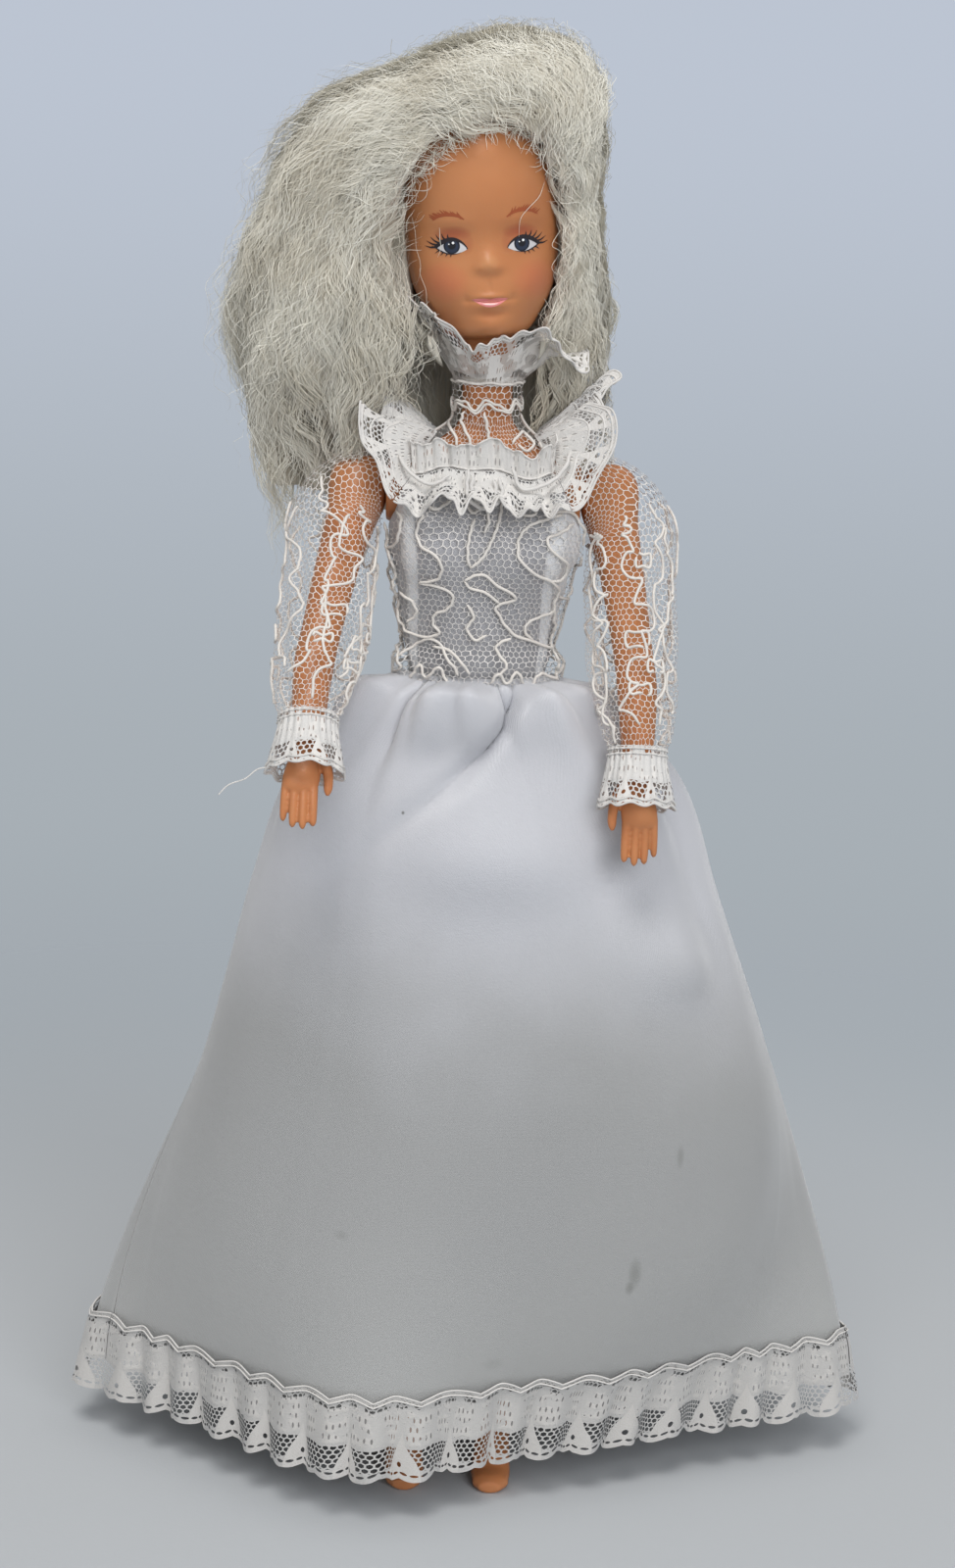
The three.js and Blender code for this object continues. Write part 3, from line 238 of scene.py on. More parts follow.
# ---- Numbers inside node trees, so that a pattern reads as a sum
class Term:
    def __init__(self, tree, socket):
        self.tree, self.socket = tree, socket

    def __add__(self, other):
        return calc("ADD", self, other)

    def __sub__(self, other):
        return calc("SUBTRACT", self, other)

    def __rsub__(self, other):
        return calc("SUBTRACT", other, self)

    def __mul__(self, other):
        return calc("MULTIPLY", self, other)

    def __truediv__(self, other):
        return calc("DIVIDE", self, other)

    __radd__ = __add__
    __rmul__ = __mul__


def calc(operation, *terms):
    tree = next(term.tree for term in terms if isinstance(term, Term))
    node = tree.nodes.new("ShaderNodeMath")
    node.operation = operation
    for socket, term in zip(node.inputs, terms):
        if isinstance(term, Term):
            tree.links.new(term.socket, socket)
        else:
            socket.default_value = term
    return Term(tree, node.outputs[0])


def fract(term):
    return calc("FRACT", term)


def size(term):
    return calc("ABSOLUTE", term)


def below(term, limit):
    return calc("LESS_THAN", term, limit)


def ramp(term, low, high):  # 0 up to low, 1 from high, smooth between
    tree = term.tree
    node = tree.nodes.new("ShaderNodeMapRange")
    node.interpolation_type = "SMOOTHSTEP"
    node.inputs["From Min"].default_value = low
    node.inputs["From Max"].default_value = high
    tree.links.new(term.socket, node.inputs["Value"])
    return Term(tree, node.outputs["Result"])


def noiseTerm(tree, vector, scale, detail=2.0, roughness=0.5):
    node = tree.nodes.new("ShaderNodeTexNoise")
    node.inputs["Scale"].default_value = scale
    node.inputs["Detail"].default_value = detail
    node.inputs["Roughness"].default_value = roughness
    tree.links.new(vector, node.inputs["Vector"])
    return Term(tree, node.outputs["Fac"])


def splitVector(tree, vector):
    node = tree.nodes.new("ShaderNodeSeparateXYZ")
    tree.links.new(vector, node.inputs[0])
    return [Term(tree, node.outputs[k]) for k in range(3)]


def mixColours(tree, factor, first, second):
    node = tree.nodes.new("ShaderNodeMix")
    node.data_type = "RGBA"
    tree.links.new(factor.socket, node.inputs["Factor"])
    for socket, colour in ((node.inputs[6], first), (node.inputs[7], second)):
        if isinstance(colour, tuple):
            socket.default_value = (*colour, 1)
        else:
            tree.links.new(colour, socket)
    return node.outputs[2]


def bumpFrom(tree, height, distance, strength=1.0):
    node = tree.nodes.new("ShaderNodeBump")
    node.inputs["Distance"].default_value = distance
    node.inputs["Strength"].default_value = strength
    tree.links.new(height.socket, node.inputs["Height"])
    return node.outputs["Normal"]


def newMaterial(name, settings):
    material = bpy.data.materials.new(name)
    material.use_nodes = True
    tree = material.node_tree
    shader = tree.nodes["Principled BSDF"]
    for socket, value in settings.items():
        shader.inputs[socket].default_value = (*value, 1) if isinstance(value, tuple) and len(value) == 3 else value
    places = tree.nodes.new("ShaderNodeTexCoord")
    return material, tree, shader, places


def connect(tree, node, sources):
    for name, source in sources.items():
        tree.links.new(source.socket if isinstance(source, Term) else source, node.inputs[name])


def scaled(colour, share):
    return tuple(share * part for part in colour)


# ---- Effects that several finishes share
def groupTree(name, outputs, inputs):
    group = bpy.data.node_groups.new(name, "ShaderNodeTree")
    for socket, kind, value in inputs:
        made = group.interface.new_socket(socket, in_out="INPUT", socket_type=kind)
        if value is not None:
            made.default_value = value
    for socket, kind in outputs:
        group.interface.new_socket(socket, in_out="OUTPUT", socket_type=kind)
    return group, group.nodes.new("NodeGroupInput"), group.nodes.new("NodeGroupOutput")


def placeGroup(tree, group, vector, values=None):
    node = tree.nodes.new("ShaderNodeGroup")
    node.node_tree = group
    tree.links.new(vector, node.inputs["Vector"])
    for socket, value in (values or {}).items():
        node.inputs[socket].default_value = value
    return node


def honeycomb(u, v, cell):  # distance to the nearest side of a cell, as a share of the cell's width
    def centred(shift):
        return fract(u / cell + shift) - 0.5, (fract(v / (cell * 1.732) + shift) - 0.5) * 1.732

    (au, av), (bu, bv) = centred(0.0), centred(0.5)
    nearer = below(bu * bu + bv * bv, au * au + av * av)
    gu, gv = size(au + (bu - au) * nearer), size(av + (bv - av) * nearer)
    return 0.5 - calc("MAXIMUM", gu, gu * 0.5 + gv * 0.866)


def makeNetGroup():  # hexagonal tulle: Thread is 1 on the threads and 0 in the holes
    group, start, end = groupTree(
        "tulleNet",
        [("Thread", "NodeSocketFloat")],
        [("Vector", "NodeSocketVector", None), ("Cell", "NodeSocketFloat", 1.4), ("Width", "NodeSocketFloat", 0.075)],
    )
    vector = start.outputs["Vector"]
    u, v, _ = splitVector(group, vector)
    sway = noiseTerm(group, vector, 0.16, 1.0)
    pull = noiseTerm(group, vector, 0.9, 0.0)
    u, v = u + sway * 3.0 + pull * 0.25, v + sway * 2.0 - pull * 0.3
    edge = honeycomb(u, v, Term(group, start.outputs["Cell"]))
    connect(group, end, {"Thread": below(edge, Term(group, start.outputs["Width"]))})
    return group


def makeLaceGroup():  # narrow edging lace: x runs along it and y climbs from its scalloped edge
    group, start, end = groupTree(
        "edgingLace",
        [("Solid", "NodeSocketFloat"), ("Relief", "NodeSocketFloat")],
        [
            ("Vector", "NodeSocketVector", None),
            ("Repeat", "NodeSocketFloat", 12.6),
            ("Height", "NodeSocketFloat", 18.0),
        ],
    )
    vector = start.outputs["Vector"]
    repeat, height = Term(group, start.outputs["Repeat"]), Term(group, start.outputs["Height"])
    u, v, _ = splitVector(group, vector)
    wander = noiseTerm(group, vector, 0.35, 1.0) - 0.5
    x = (fract(u / repeat) - 0.5) * repeat + wander * 0.7
    y = v + wander * 0.5
    share = y / height
    wave = size(calc("SINE", x / repeat * turn))
    scallop = 1.0 - wave
    rise = y - scallop * height * 0.05  # above the scalloped edge
    outside = below(rise, 0.0)
    # a row of small holes just inside the edge
    step = fract(u / (repeat / 8)) - 0.5
    picot = rise / height - 0.075
    picots = below(step * step * 7.0 + picot * picot * 3600.0, 1.0)
    # solid tongues with an eyelet, and net between them
    tongueHalf = repeat * 0.27 * (1.0 - ramp(share, 0.06, 0.62))
    inTongue = below(size(x), tongueHalf)
    eye = share - 0.22
    eyelet = below(x * x * 5.0 + eye * eye * 900.0, 1.0)
    mesh = below(0.13, honeycomb(u, v, 1.15))
    netBand = ramp(share, 0.12, 0.14) * (1.0 - ramp(share + wander * 0.08, 0.38, 0.42)) * (1.0 - inTongue)
    # dense columns of short dashes over that, then a net heading
    dash = fract(u / 1.05 + below(fract(v / 4.2), 0.5) * 0.5) - 0.5
    rung = fract(v / 2.1) - 0.5
    dashes = below(dash * dash * 34.0 + rung * rung * 12.0, 1.0) * 0.62
    column = ramp(wave, 0.25, 0.75)
    patches = ramp(noiseTerm(group, vector, 0.42, 1.0), 0.44, 0.56)
    dashBand = ramp(share, 0.42, 0.46) * (1.0 - ramp(share, 0.84, 0.88)) * (0.3 + column * patches)
    heading = ramp(share, 0.86, 0.88) * (1.0 - ramp(share, 0.975, 0.985))
    holes = picots
    for opening in (
        eyelet * inTongue, mesh * below(0.5, netBand), dashes * below(0.5, dashBand),
        mesh * heading * below(0.55, patches), outside,
    ):
        holes = calc("MAXIMUM", holes, opening)
    relief = inTongue * 0.6 + dashBand * 0.5 + noiseTerm(group, vector, 3.0, 3.0)
    connect(group, end, {"Solid": 1.0 - holes, "Relief": relief})
    return group


def makeMottleGroup():  # slow change of tone over a surface, and a fine grain
    group, start, end = groupTree(
        "mottle",
        [("Tone", "NodeSocketFloat"), ("Grain", "NodeSocketFloat")],
        [("Vector", "NodeSocketVector", None), ("Patch", "NodeSocketFloat", 60.0), ("Fine", "NodeSocketFloat", 2500.0)],
    )
    for output, scale, detail in (("Tone", "Patch", 3.0), ("Grain", "Fine", 2.0)):
        node = group.nodes.new("ShaderNodeTexNoise")
        node.inputs["Detail"].default_value = detail
        group.links.new(start.outputs["Vector"], node.inputs["Vector"])
        group.links.new(start.outputs[scale], node.inputs["Scale"])
        group.links.new(node.outputs["Fac"], end.inputs[output])
    return group


netGroup = makeNetGroup()
laceGroup = makeLaceGroup()
mottleGroup = makeMottleGroup()

# ---- Finishes
finish = {
    "skin": (0.525, 0.216, 0.088),
    "skinShade": (0.465, 0.173, 0.066),
    "blush": (0.56, 0.15, 0.075),
    "satin": (0.57, 0.57, 0.60),
    # painted shade: the skirt's middle and lower part, darker than the satin by the waist
    "satinMiddle": (0.345, 0.343, 0.338),
    "satinLow": (0.40, 0.397, 0.385),
    # painted shade: the front bodice's satin, darker where it lies under the net
    "satinUnderNet": (0.385, 0.38, 0.395),
    "satinFold": (0.74, 0.74, 0.75),
    "lidShade": (0.36, 0.085, 0.04),
    # painted shade in the inner eye corners and under the lower lip, and a painted highlight on the nose tip
    "cornerShade": (0.36, 0.09, 0.045),
    "noseShade": (0.66, 0.36, 0.17),
    "lipShade": (0.38, 0.11, 0.05),
    "stain": (0.12, 0.12, 0.10),
    "lace": (0.72, 0.69, 0.655),
    "laceShade": (0.60, 0.585, 0.565),
    "cord": (0.80, 0.75, 0.69),
    "net": (0.66, 0.62, 0.58),
    "hairLight": (0.80, 0.77, 0.68),
    "hairShade": (0.61, 0.555, 0.445),
    "floorNear": (0.50, 0.515, 0.53),
    "floorFar": (0.43, 0.465, 0.50),
    "sky": (0.505, 0.556, 0.645),
    "skyLow": (0.39, 0.43, 0.465),
}


def mottled(name, settings, patch, fine):  # a new material with the tone and grain that all of them carry
    material, tree, shader, places = newMaterial(name, settings)
    mottle = placeGroup(tree, mottleGroup, places.outputs["Object"], {"Patch": patch, "Fine": fine})
    tone, grain = Term(tree, mottle.outputs["Tone"]), Term(tree, mottle.outputs["Grain"])
    return material, tree, shader, places, tone, grain


def skinMaterial(name, relief=1.0):
    material, tree, shader, places, tone, grain = mottled(
        name, {"Roughness": 0.42, "Subsurface Weight": 0.12, "Subsurface Scale": 0.0015, "IOR": 1.46}, 45.0, 1800.0
    )
    shader.inputs["Subsurface Radius"].default_value = (1.0, 0.35, 0.15)
    colour = mixColours(tree, ramp(tone, 0.35, 0.75), finish["skin"], finish["skinShade"])
    connect(tree, shader, {
        "Base Color": colour,
        "Roughness": grain * 0.1 + 0.36,
        "Normal": bumpFrom(tree, grain, 0.00003 * relief),
    })
    return material, tree, shader, places, colour


marks = [  # x and z, half sizes and strength of each
    ((46.8, 79.3), (0.9, 3.0), 0.35), ((38.4, 53.0), (1.6, 4.2), 0.4), ((37.4, 49.5), (1.1, 1.8), 0.45),
    ((-14.2, 151.3), (0.4, 0.5), 0.9), ((-24.0, 62.0), (1.8, 1.2), 0.2), ((9.0, 33.0), (2.6, 1.6), 0.15),
]


def satinMaterial(name, strips=False):
    material, tree, shader, places, tone, grain = mottled(
        name,
        {"Roughness": 0.36, "Sheen Weight": 0.5, "Sheen Roughness": 0.4, "Specular IOR Level": 1.0, "Anisotropic": 0.3},
        16.0, 3200.0,
    )
    u, v, _ = splitVector(tree, places.outputs["UV"])
    # painted light and shade: bright by the waist, where the light from above falls, and painted darker further down,
    # with a patchy edge
    down = v + (tone - 0.5) * 60.0
    colour = mixColours(tree, ramp(down, 50.0, 100.0), finish["satin"], finish["satinMiddle"])
    colour = mixColours(tree, ramp(down, 110.0, 165.0), colour, finish["satinLow"])
    x, y, z = splitVector(tree, places.outputs["Object"])
    for at, half, strength in marks:  # faint stains and a speck on the front of the skirt
        dx = (x - (at[0] + dollMiddle[0]) / 1000) / (half[0] / 1000)
        dz = (z - at[1] / 1000) / (half[1] / 1000)
        spot = calc("MAXIMUM", 1.0 - (dx * dx + dz * dz), 0.0) * below(y, 0.0) * strength
        colour = mixColours(tree, spot, colour, finish["stain"])
    # long floats over a short tie, the way satin weave catches light
    weave = calc("SINE", u * (turn / 0.32) + calc("FLOOR", v / 0.3) * 2.2) * 0.35 + grain
    if strips:  # the bodice's folded seams, where the cloth lies double and looks whiter
        seam = size(size(u) / 17.0 - (1.12 - 0.28 * ramp(v, 178.0, 204.0)))
        white = calc("MAXIMUM", 1.0 - ramp(seam, 0.1, 0.14), ramp(u, 15.5, 16.5) * ramp(v, 194.0, 198.0))
        # the whole front panel takes the painted shade under the net, with its folded seams whiter
        colour = mixColours(tree, white, finish["satinUnderNet"], finish["satinFold"])
    connect(tree, shader, {
        "Base Color": colour, "Roughness": 0.29 + grain * 0.16, "Normal": bumpFrom(tree, weave, 0.00007),
    })
    return material


def netMaterial(name):
    material, tree, shader, places, tone, grain = mottled(name, {"Roughness": 0.7, "Sheen Weight": 0.3}, 120.0, 6000.0)
    net = placeGroup(tree, netGroup, places.outputs["UV"], {"Cell": 1.38, "Width": 0.05})
    connect(tree, shader, {
        "Base Color": mixColours(tree, tone, finish["net"], finish["lace"]),
        "Alpha": net.outputs["Thread"],
        "Normal": bumpFrom(tree, grain, 0.00004),
    })
    return material


def laceMaterial(name, repeat, height, lightness=1.0):
    material, tree, shader, places, _, grain = mottled(
        name, {"Roughness": 0.72, "Sheen Weight": 0.35}, 150.0, 5000.0
    )
    lace = placeGroup(tree, laceGroup, places.outputs["UV"], {"Repeat": repeat, "Height": height})
    relief = Term(tree, lace.outputs["Relief"])
    dark, light = scaled(finish["laceShade"], lightness), scaled(finish["lace"], lightness)
    connect(tree, shader, {
        "Base Color": mixColours(tree, ramp(relief, 0.2, 1.2), dark, light),
        "Alpha": lace.outputs["Solid"],
        "Normal": bumpFrom(tree, relief + grain * 0.8, 0.00014),
    })
    return material


def sheerMaterial(name, repeat, height):  # fine net that veils what is behind it, with denser lace in patches
    material, tree, shader, places, tone, grain = mottled(name, {"Roughness": 0.7, "Sheen Weight": 0.3}, 260.0, 5000.0)
    lace = placeGroup(tree, laceGroup, places.outputs["UV"], {"Repeat": repeat, "Height": height})
    solid = Term(tree, lace.outputs["Solid"])
    v = splitVector(tree, places.outputs["UV"])[1]
    dense = calc("MAXIMUM", ramp(tone, 0.44, 0.52), 1.0 - ramp(v, 0.9, 1.6))
    connect(tree, shader, {
        "Base Color": mixColours(tree, dense, finish["net"], finish["lace"]),
        "Alpha": calc("MINIMUM", solid * (0.66 + dense * 0.34) + grain * 0.1, 1.0),
        "Normal": bumpFrom(tree, grain + dense * 0.5, 0.00014),
    })
    return material


def hairMaterial(name, mass=False, comb=0.0, light=0.93):
    material, tree, shader, places, tone, grain = mottled(
        name, {"Roughness": 0.45, "Sheen Weight": 0.2, "Specular IOR Level": 0.5}, 60.0, 3000.0
    )
    u, v, _ = splitVector(tree, places.outputs["UV"])
    if mass:  # fine streaks that run the way the lock is combed
        around = 30.0 - size(u - 30.0)
        place = tree.nodes.new("ShaderNodeCombineXYZ")
        connect(tree, place, {"X": (around + v * comb) * 5.0, "Y": v * 0.12})
        streak = noiseTerm(tree, place.outputs[0], 1.0, 3.0)
        shade = ramp(streak * 0.6 + tone * 0.5, 0.4, 0.75)
        colour = mixColours(tree, shade, finish["hairShade"], scaled(finish["hairLight"], light))
        connect(tree, shader, {"Base Color": colour, "Normal": bumpFrom(tree, streak, 0.0004)})
    else:  # u is the strand's own tone
        shade = calc("MINIMUM", u * 0.75 + ramp(tone, 0.38, 0.62) * 0.45, 1.0)
        colour = mixColours(tree, shade, finish["hairShade"], finish["hairLight"])
        connect(tree, shader, {"Base Color": colour, "Roughness": 0.36 + grain * 0.2})
    return material


def plainMaterial(name, colour, settings, patch, fine, darkest, bump):
    material, tree, shader, _, tone, grain = mottled(name, settings, patch, fine)
    colour = mixColours(tree, tone, colour, scaled(colour, darkest))
    connect(tree, shader, {"Base Color": colour, "Normal": bumpFrom(tree, grain, bump)})
    return material


def cordMaterial(name, colour):
    return plainMaterial(name, colour, {"Roughness": 0.66, "Sheen Weight": 0.3}, 300.0, 4500.0, 0.86, 0.00012)


def plasticMaterial(name, colour, roughness, metallic=0.0):
    material, tree, shader, _, tone, grain = mottled(name, {"Metallic": metallic}, 220.0, 2600.0)
    connect(tree, shader, {
        "Base Color": mixColours(tree, ramp(tone, 0.3, 0.8), colour, scaled(colour, 0.82)),
        "Roughness": roughness + grain * 0.15,
        "Normal": bumpFrom(tree, grain, 0.00003),
    })
    return material


vinylSkin = skinMaterial("vinylSkin")[0]
hardSkin = skinMaterial("hardSkin", 0.4)[0]
satin = satinMaterial("satin")
stripedSatin = satinMaterial("stripedSatin", True)
tulle = netMaterial("tulle")
cord = cordMaterial("laceCord", finish["cord"])
whiteThread = cordMaterial("whiteThread", finish["lace"])
strandHair = hairMaterial("strandHair")
# painted shade: the mass under the strands of the crown and the fall is darker, for the depths between the strands
massHair = hairMaterial("massHair", True, light=0.7)
combedHair = hairMaterial("combedHair", True, 0.3)
innerPlastic = plasticMaterial("creamPlastic", (0.74, 0.70, 0.62), 0.38)
platedSteel = plasticMaterial("platedSteel", (0.62, 0.62, 0.64), 0.26, 1.0)


def makeStage():
    bpy.ops.mesh.primitive_circle_add(vertices=96, radius=4.0, fill_type="NGON", location=(0, 0, 0))
    floor = bpy.context.object
    floor.name = "floor"
    material, tree, shader, places, tone, grain = mottled(
        "paleSweep", {"Roughness": 0.85, "Specular IOR Level": 0.2}, 3.0, 900.0
    )
    x, y, z = splitVector(tree, places.outputs["Object"])
    away = calc("SQRT", x * x + y * y) + tone * 0.08
    # painted shade: the floor darkens and turns bluer away from the doll, then fades into the world
    connect(tree, shader, {
        "Base Color": mixColours(tree, ramp(away, 0.14, 0.5), finish["floorNear"], finish["floorFar"]),
        "Normal": bumpFrom(tree, grain, 0.00004),
        "Alpha": 1.0 - ramp(away, 0.16, 0.75),
    })
    floor.data.materials.append(material)
    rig.stage(floor)
    world = bpy.data.worlds.new("studio")
    bpy.context.scene.world = world
    world.use_nodes = True
    tree = world.node_tree
    light = tree.nodes["Background"]
    light.inputs["Color"].default_value = (0.95, 0.975, 1.0, 1)
    light.inputs["Strength"].default_value = photo["skyStrength"]
    seen = tree.nodes.new("ShaderNodeBackground")
    way = tree.nodes.new("ShaderNodeTexCoord")
    x, y, z = splitVector(tree, way.outputs["Generated"])
    # painted shade and light: the background the camera sees is darker and bluer low down, lighter higher up
    tree.links.new(mixColours(tree, ramp(z, -0.22, 0.02), finish["skyLow"], finish["sky"]), seen.inputs["Color"])
    rays = tree.nodes.new("ShaderNodeLightPath")
    blendNode = tree.nodes.new("ShaderNodeMixShader")
    tree.links.new(rays.outputs["Is Camera Ray"], blendNode.inputs[0])
    tree.links.new(light.outputs[0], blendNode.inputs[1])
    tree.links.new(seen.outputs[0], blendNode.inputs[2])
    tree.links.new(blendNode.outputs[0], tree.nodes["World Output"].inputs["Surface"])


makeStage()
print("camera, lamps, floor and finishes are ready")


# ---- Tools for shapes
def smooth(low, high, value):
    t = np.clip((value - low) / (high - low), 0, 1)
    return t * t * (3 - 2 * t)


def mix(first, second, t):
    return first + (second - first) * t


def hump(value, centre, width):
    return np.exp(-(((value - centre) / width) ** 2))


def through(rows):  # a smooth curve through rows of numbers, read at a value of their first column
    table = np.array(rows, float)
    at, values = table[:, 0], table[:, 1:]
    last = len(at) - 1

    def read(x):
        x = np.asarray(x, float)
        i = np.clip(np.searchsorted(at, x, side="right") - 1, 0, last - 1)
        before, after = np.maximum(i - 1, 0), np.minimum(i + 2, last)
        span = at[i + 1] - at[i]
        t = np.clip((x - at[i]) / span, 0, 1)[..., None]
        leaving = (values[i + 1] - values[before]) / (at[i + 1] - at[before])[..., None]
        arriving = (values[after] - values[i]) / (at[after] - at[i])[..., None]
        curve = values[i] + (values[i + 1] - values[i]) * t * t * (3 - 2 * t)
        curve = curve + span[..., None] * (t * (1 - t) ** 2 * leaving + t * t * (t - 1) * arriving)
        return [curve[..., k] for k in range(values.shape[1])]

    return read


def stack(x, y, z):
    return np.stack(np.broadcast_arrays(x, y, z), -1)


def normalised(vectors):
    return vectors / np.maximum(np.linalg.norm(vectors, axis=-1, keepdims=True), 1e-9)


def runAlong(points):  # the length of a row of points up to each of them
    return np.concatenate([[0], np.cumsum(np.linalg.norm(np.diff(points, axis=0), axis=1))])


def rowsAt(us, *heights):  # lines across a surface, each at one height
    return [np.column_stack([us, np.full(len(us), height)]) for height in heights]


def gridCorners(rows, cells):
    i, j = np.meshgrid(np.arange(rows - 1), np.arange(cells), indexing="ij")
    return [(i, j), (i, j + 1), (i + 1, j + 1), (i + 1, j)]


def normalOf(surface, u, v, step=1e-3):
    along = surface(u + step, v) - surface(u - step, v)
    across = surface(u, v + step) - surface(u, v - step)
    return normalised(np.cross(along, across))


def dress(role, rider, *pieces):
    for piece in pieces:
        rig.slot(piece, role)
        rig.ride(piece, rider)


def dressBetween(role, first, last, start, end, *pieces):  # pieces that leave one body for another between two points
    for piece in pieces:
        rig.slot(piece, role)
        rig.blend(piece, first, last, *[tuple((dollMiddle + point) / 1000) for point in (start, end)])


def selectOnly(thing):
    bpy.ops.object.select_all(action="DESELECT")
    thing.select_set(True)
    bpy.context.view_layer.objects.active = thing


def coat(thing, material):
    thing.data.materials.clear()
    thing.data.materials.append(material)


def melted(thing, voxel, rounds, material):  # remeshed in small cubes and relaxed into one smooth skin
    thing.data.remesh_voxel_size = voxel / 1000
    bpy.ops.object.voxel_remesh()
    relax = thing.modifiers.new("Relax", "SMOOTH")
    relax.factor, relax.iterations = 0.5, rounds
    bpy.ops.object.modifier_apply(modifier=relax.name)
    bpy.ops.object.shade_smooth()
    coat(thing, material)


def makeMesh(name, points, faces, material, uv=None):  # uv holds a pair for each corner of each face
    mesh = bpy.data.meshes.new(name)
    mesh.vertices.add(len(points))
    mesh.vertices.foreach_set("co", ((points + dollMiddle) / 1000).astype(np.float32).ravel())
    mesh.loops.add(faces.size)
    mesh.loops.foreach_set("vertex_index", faces.astype(np.int32).ravel())
    mesh.polygons.add(len(faces))
    mesh.polygons.foreach_set("loop_start", np.arange(len(faces), dtype=np.int32) * faces.shape[1])
    mesh.polygons.foreach_set("use_smooth", np.ones(len(faces), bool))
    mesh.update(calc_edges=True)
    if uv is not None:
        mesh.uv_layers.new(name="cloth").data.foreach_set("uv", uv.astype(np.float32).ravel())
    mesh.materials.append(material)
    made = bpy.data.objects.new(name, mesh)
    bpy.context.scene.collection.objects.link(made)
    return made


flatSize = {}


def lengthsOver(points):  # millimetres along and across a grid of points, as the flat cloth would measure
    along = np.linalg.norm(np.diff(points, axis=1), axis=2).mean(0)
    across = np.linalg.norm(np.diff(points, axis=0), axis=2).mean(1)
    return np.concatenate([[0], np.cumsum(along)]), np.concatenate([[0], np.cumsum(across)])


def makeSheet(name, surface, us, vs, material, around=False, downwards=False, cloth=None, thickness=0.0):
    across, down = np.meshgrid(us, vs)
    points = surface(across, down)
    rows, columns = across.shape
    used = columns - 1 if around else columns
    corners = gridCorners(rows, columns - 1)
    if downwards:
        corners.reverse()
    faces = np.stack([a * used + b % used for a, b in corners], -1).reshape(-1, 4)
    lengths = lengthsOver(points)
    if cloth is None:
        cloth = np.stack(np.meshgrid(*lengths), -1)
    else:
        cloth = np.stack(np.broadcast_arrays(*cloth(across, down)), -1)
    uv = np.stack([cloth[a, b] for a, b in corners], 2).reshape(-1, 2)
    made = makeMesh(name, points[:, :used].reshape(-1, 3), faces, material, uv)
    flatSize[name] = (lengths[0][-1] / 1000, lengths[1][-1] / 1000)
    if thickness:
        thicken = made.modifiers.new("Thickness", "SOLIDIFY")
        thicken.thickness = thickness / 1000
        thicken.offset = -1
    return made


def loft(name, rings, material):  # closed rings from one end to the other, a pole at each end
    rings = np.asarray(rings, float)
    count, sides = rings.shape[:2]
    corners = gridCorners(count, sides)
    faces = np.stack([a * sides + b % sides for a, b in corners], -1).reshape(-1, 4)
    uv = np.stack([np.stack([b * 60.0 / sides, a * 1.0], -1) for a, b in corners], 2).reshape(-1, 2)
    made = makeMesh(name, rings.reshape(-1, 3), faces, material, uv)
    work = bmesh.new()
    work.from_mesh(made.data)
    verts = list(work.verts)
    for end in (0, count - 1):
        pole = work.verts.new(Vector((rings[end].mean(0) + dollMiddle) / 1000))
        for j in range(sides):
            work.faces.new((verts[end * sides + j], verts[end * sides + (j + 1) % sides], pole)).smooth = True
    bmesh.ops.recalc_face_normals(work, faces=work.faces)
    work.to_mesh(made.data)
    work.free()
    return made


def tubes(name, paths, facings, radius, material):  # six sided cords that lie along paths of points
    sides = 6
    angles = np.arange(sides) / sides * turn
    allPoints, allFaces, start = [], [], 0
    for path, facing in zip(paths, facings):
        count = len(path)
        ahead = normalised(np.gradient(path, axis=0))
        beside = normalised(np.cross(ahead, facing))
        up = np.cross(beside, ahead)
        taper = np.minimum(1, np.minimum(np.arange(count), np.arange(count)[::-1]) / 2 + 0.4)[:, None, None]
        ring = np.cos(angles)[None, :, None] * beside[:, None] + np.sin(angles)[None, :, None] * up[:, None]
        allPoints.append((path[:, None] + ring * radius * taper).reshape(-1, 3))
        corners = [a * sides + b % sides for a, b in gridCorners(count, sides)]
        allFaces.append(np.stack(corners, -1).reshape(-1, 4) + start)
        last = (count - 1) * sides
        allFaces.append(np.array([[0, 3, 2, 1], [0, 5, 4, 3]]) + start)
        allFaces.append(np.array([[0, 1, 2, 3], [0, 3, 4, 5]]) + start + last)
        start += count * sides
    return makeMesh(name, np.concatenate(allPoints), np.concatenate(allFaces), material)


def joined(name, *parts):  # one object from several, each keeping its material
    bpy.ops.object.select_all(action="DESELECT")
    for part in parts:
        part.select_set(True)
    bpy.context.view_layer.objects.active = parts[0]
    bpy.ops.object.join()
    parts[0].name = parts[0].data.name = name
    bpy.ops.object.select_all(action="DESELECT")
    return parts[0]


# ---- The body's surface, as the part has it: angle 0 is the front and a quarter turn is the doll's left
body = {"bust": 205, "bustOut": 4.2, "shoulder": 216}
bodySection = through([  # height, half width, depth in front and behind
    [136, 9.2, 7.875, 8.4],
    [142, 16.56, 9.45, 10.5],
    [149, 18.4, 9.975, 11.76],
    [161.4, mix(18.4, 13.2, 0.42), 9.66, 10.5],
    [174, 13.2, 8.3, 8.3],
    [189.5, mix(13.2, 18.2, 0.45), mix(8.3, 12.2, 0.45), 9.6],
    [205, 18.2, 12.2, 9.6],
    [214, 20.2, 9.46, 9.6],
    [220, 18.786, 8.17, 8.6],
    [225, 12.524, 6.36, 7.155],
    [229, 7.155, 5.3, 5.83],
    [232, 5.3, 5.3, 5.3],
    [239, 5.3, 5.3, 5.3],
])


def squared(value):
    return np.sign(value) * np.abs(value) ** 0.92


def nearAngle(angle):
    return angle - turn * np.round(angle / turn)


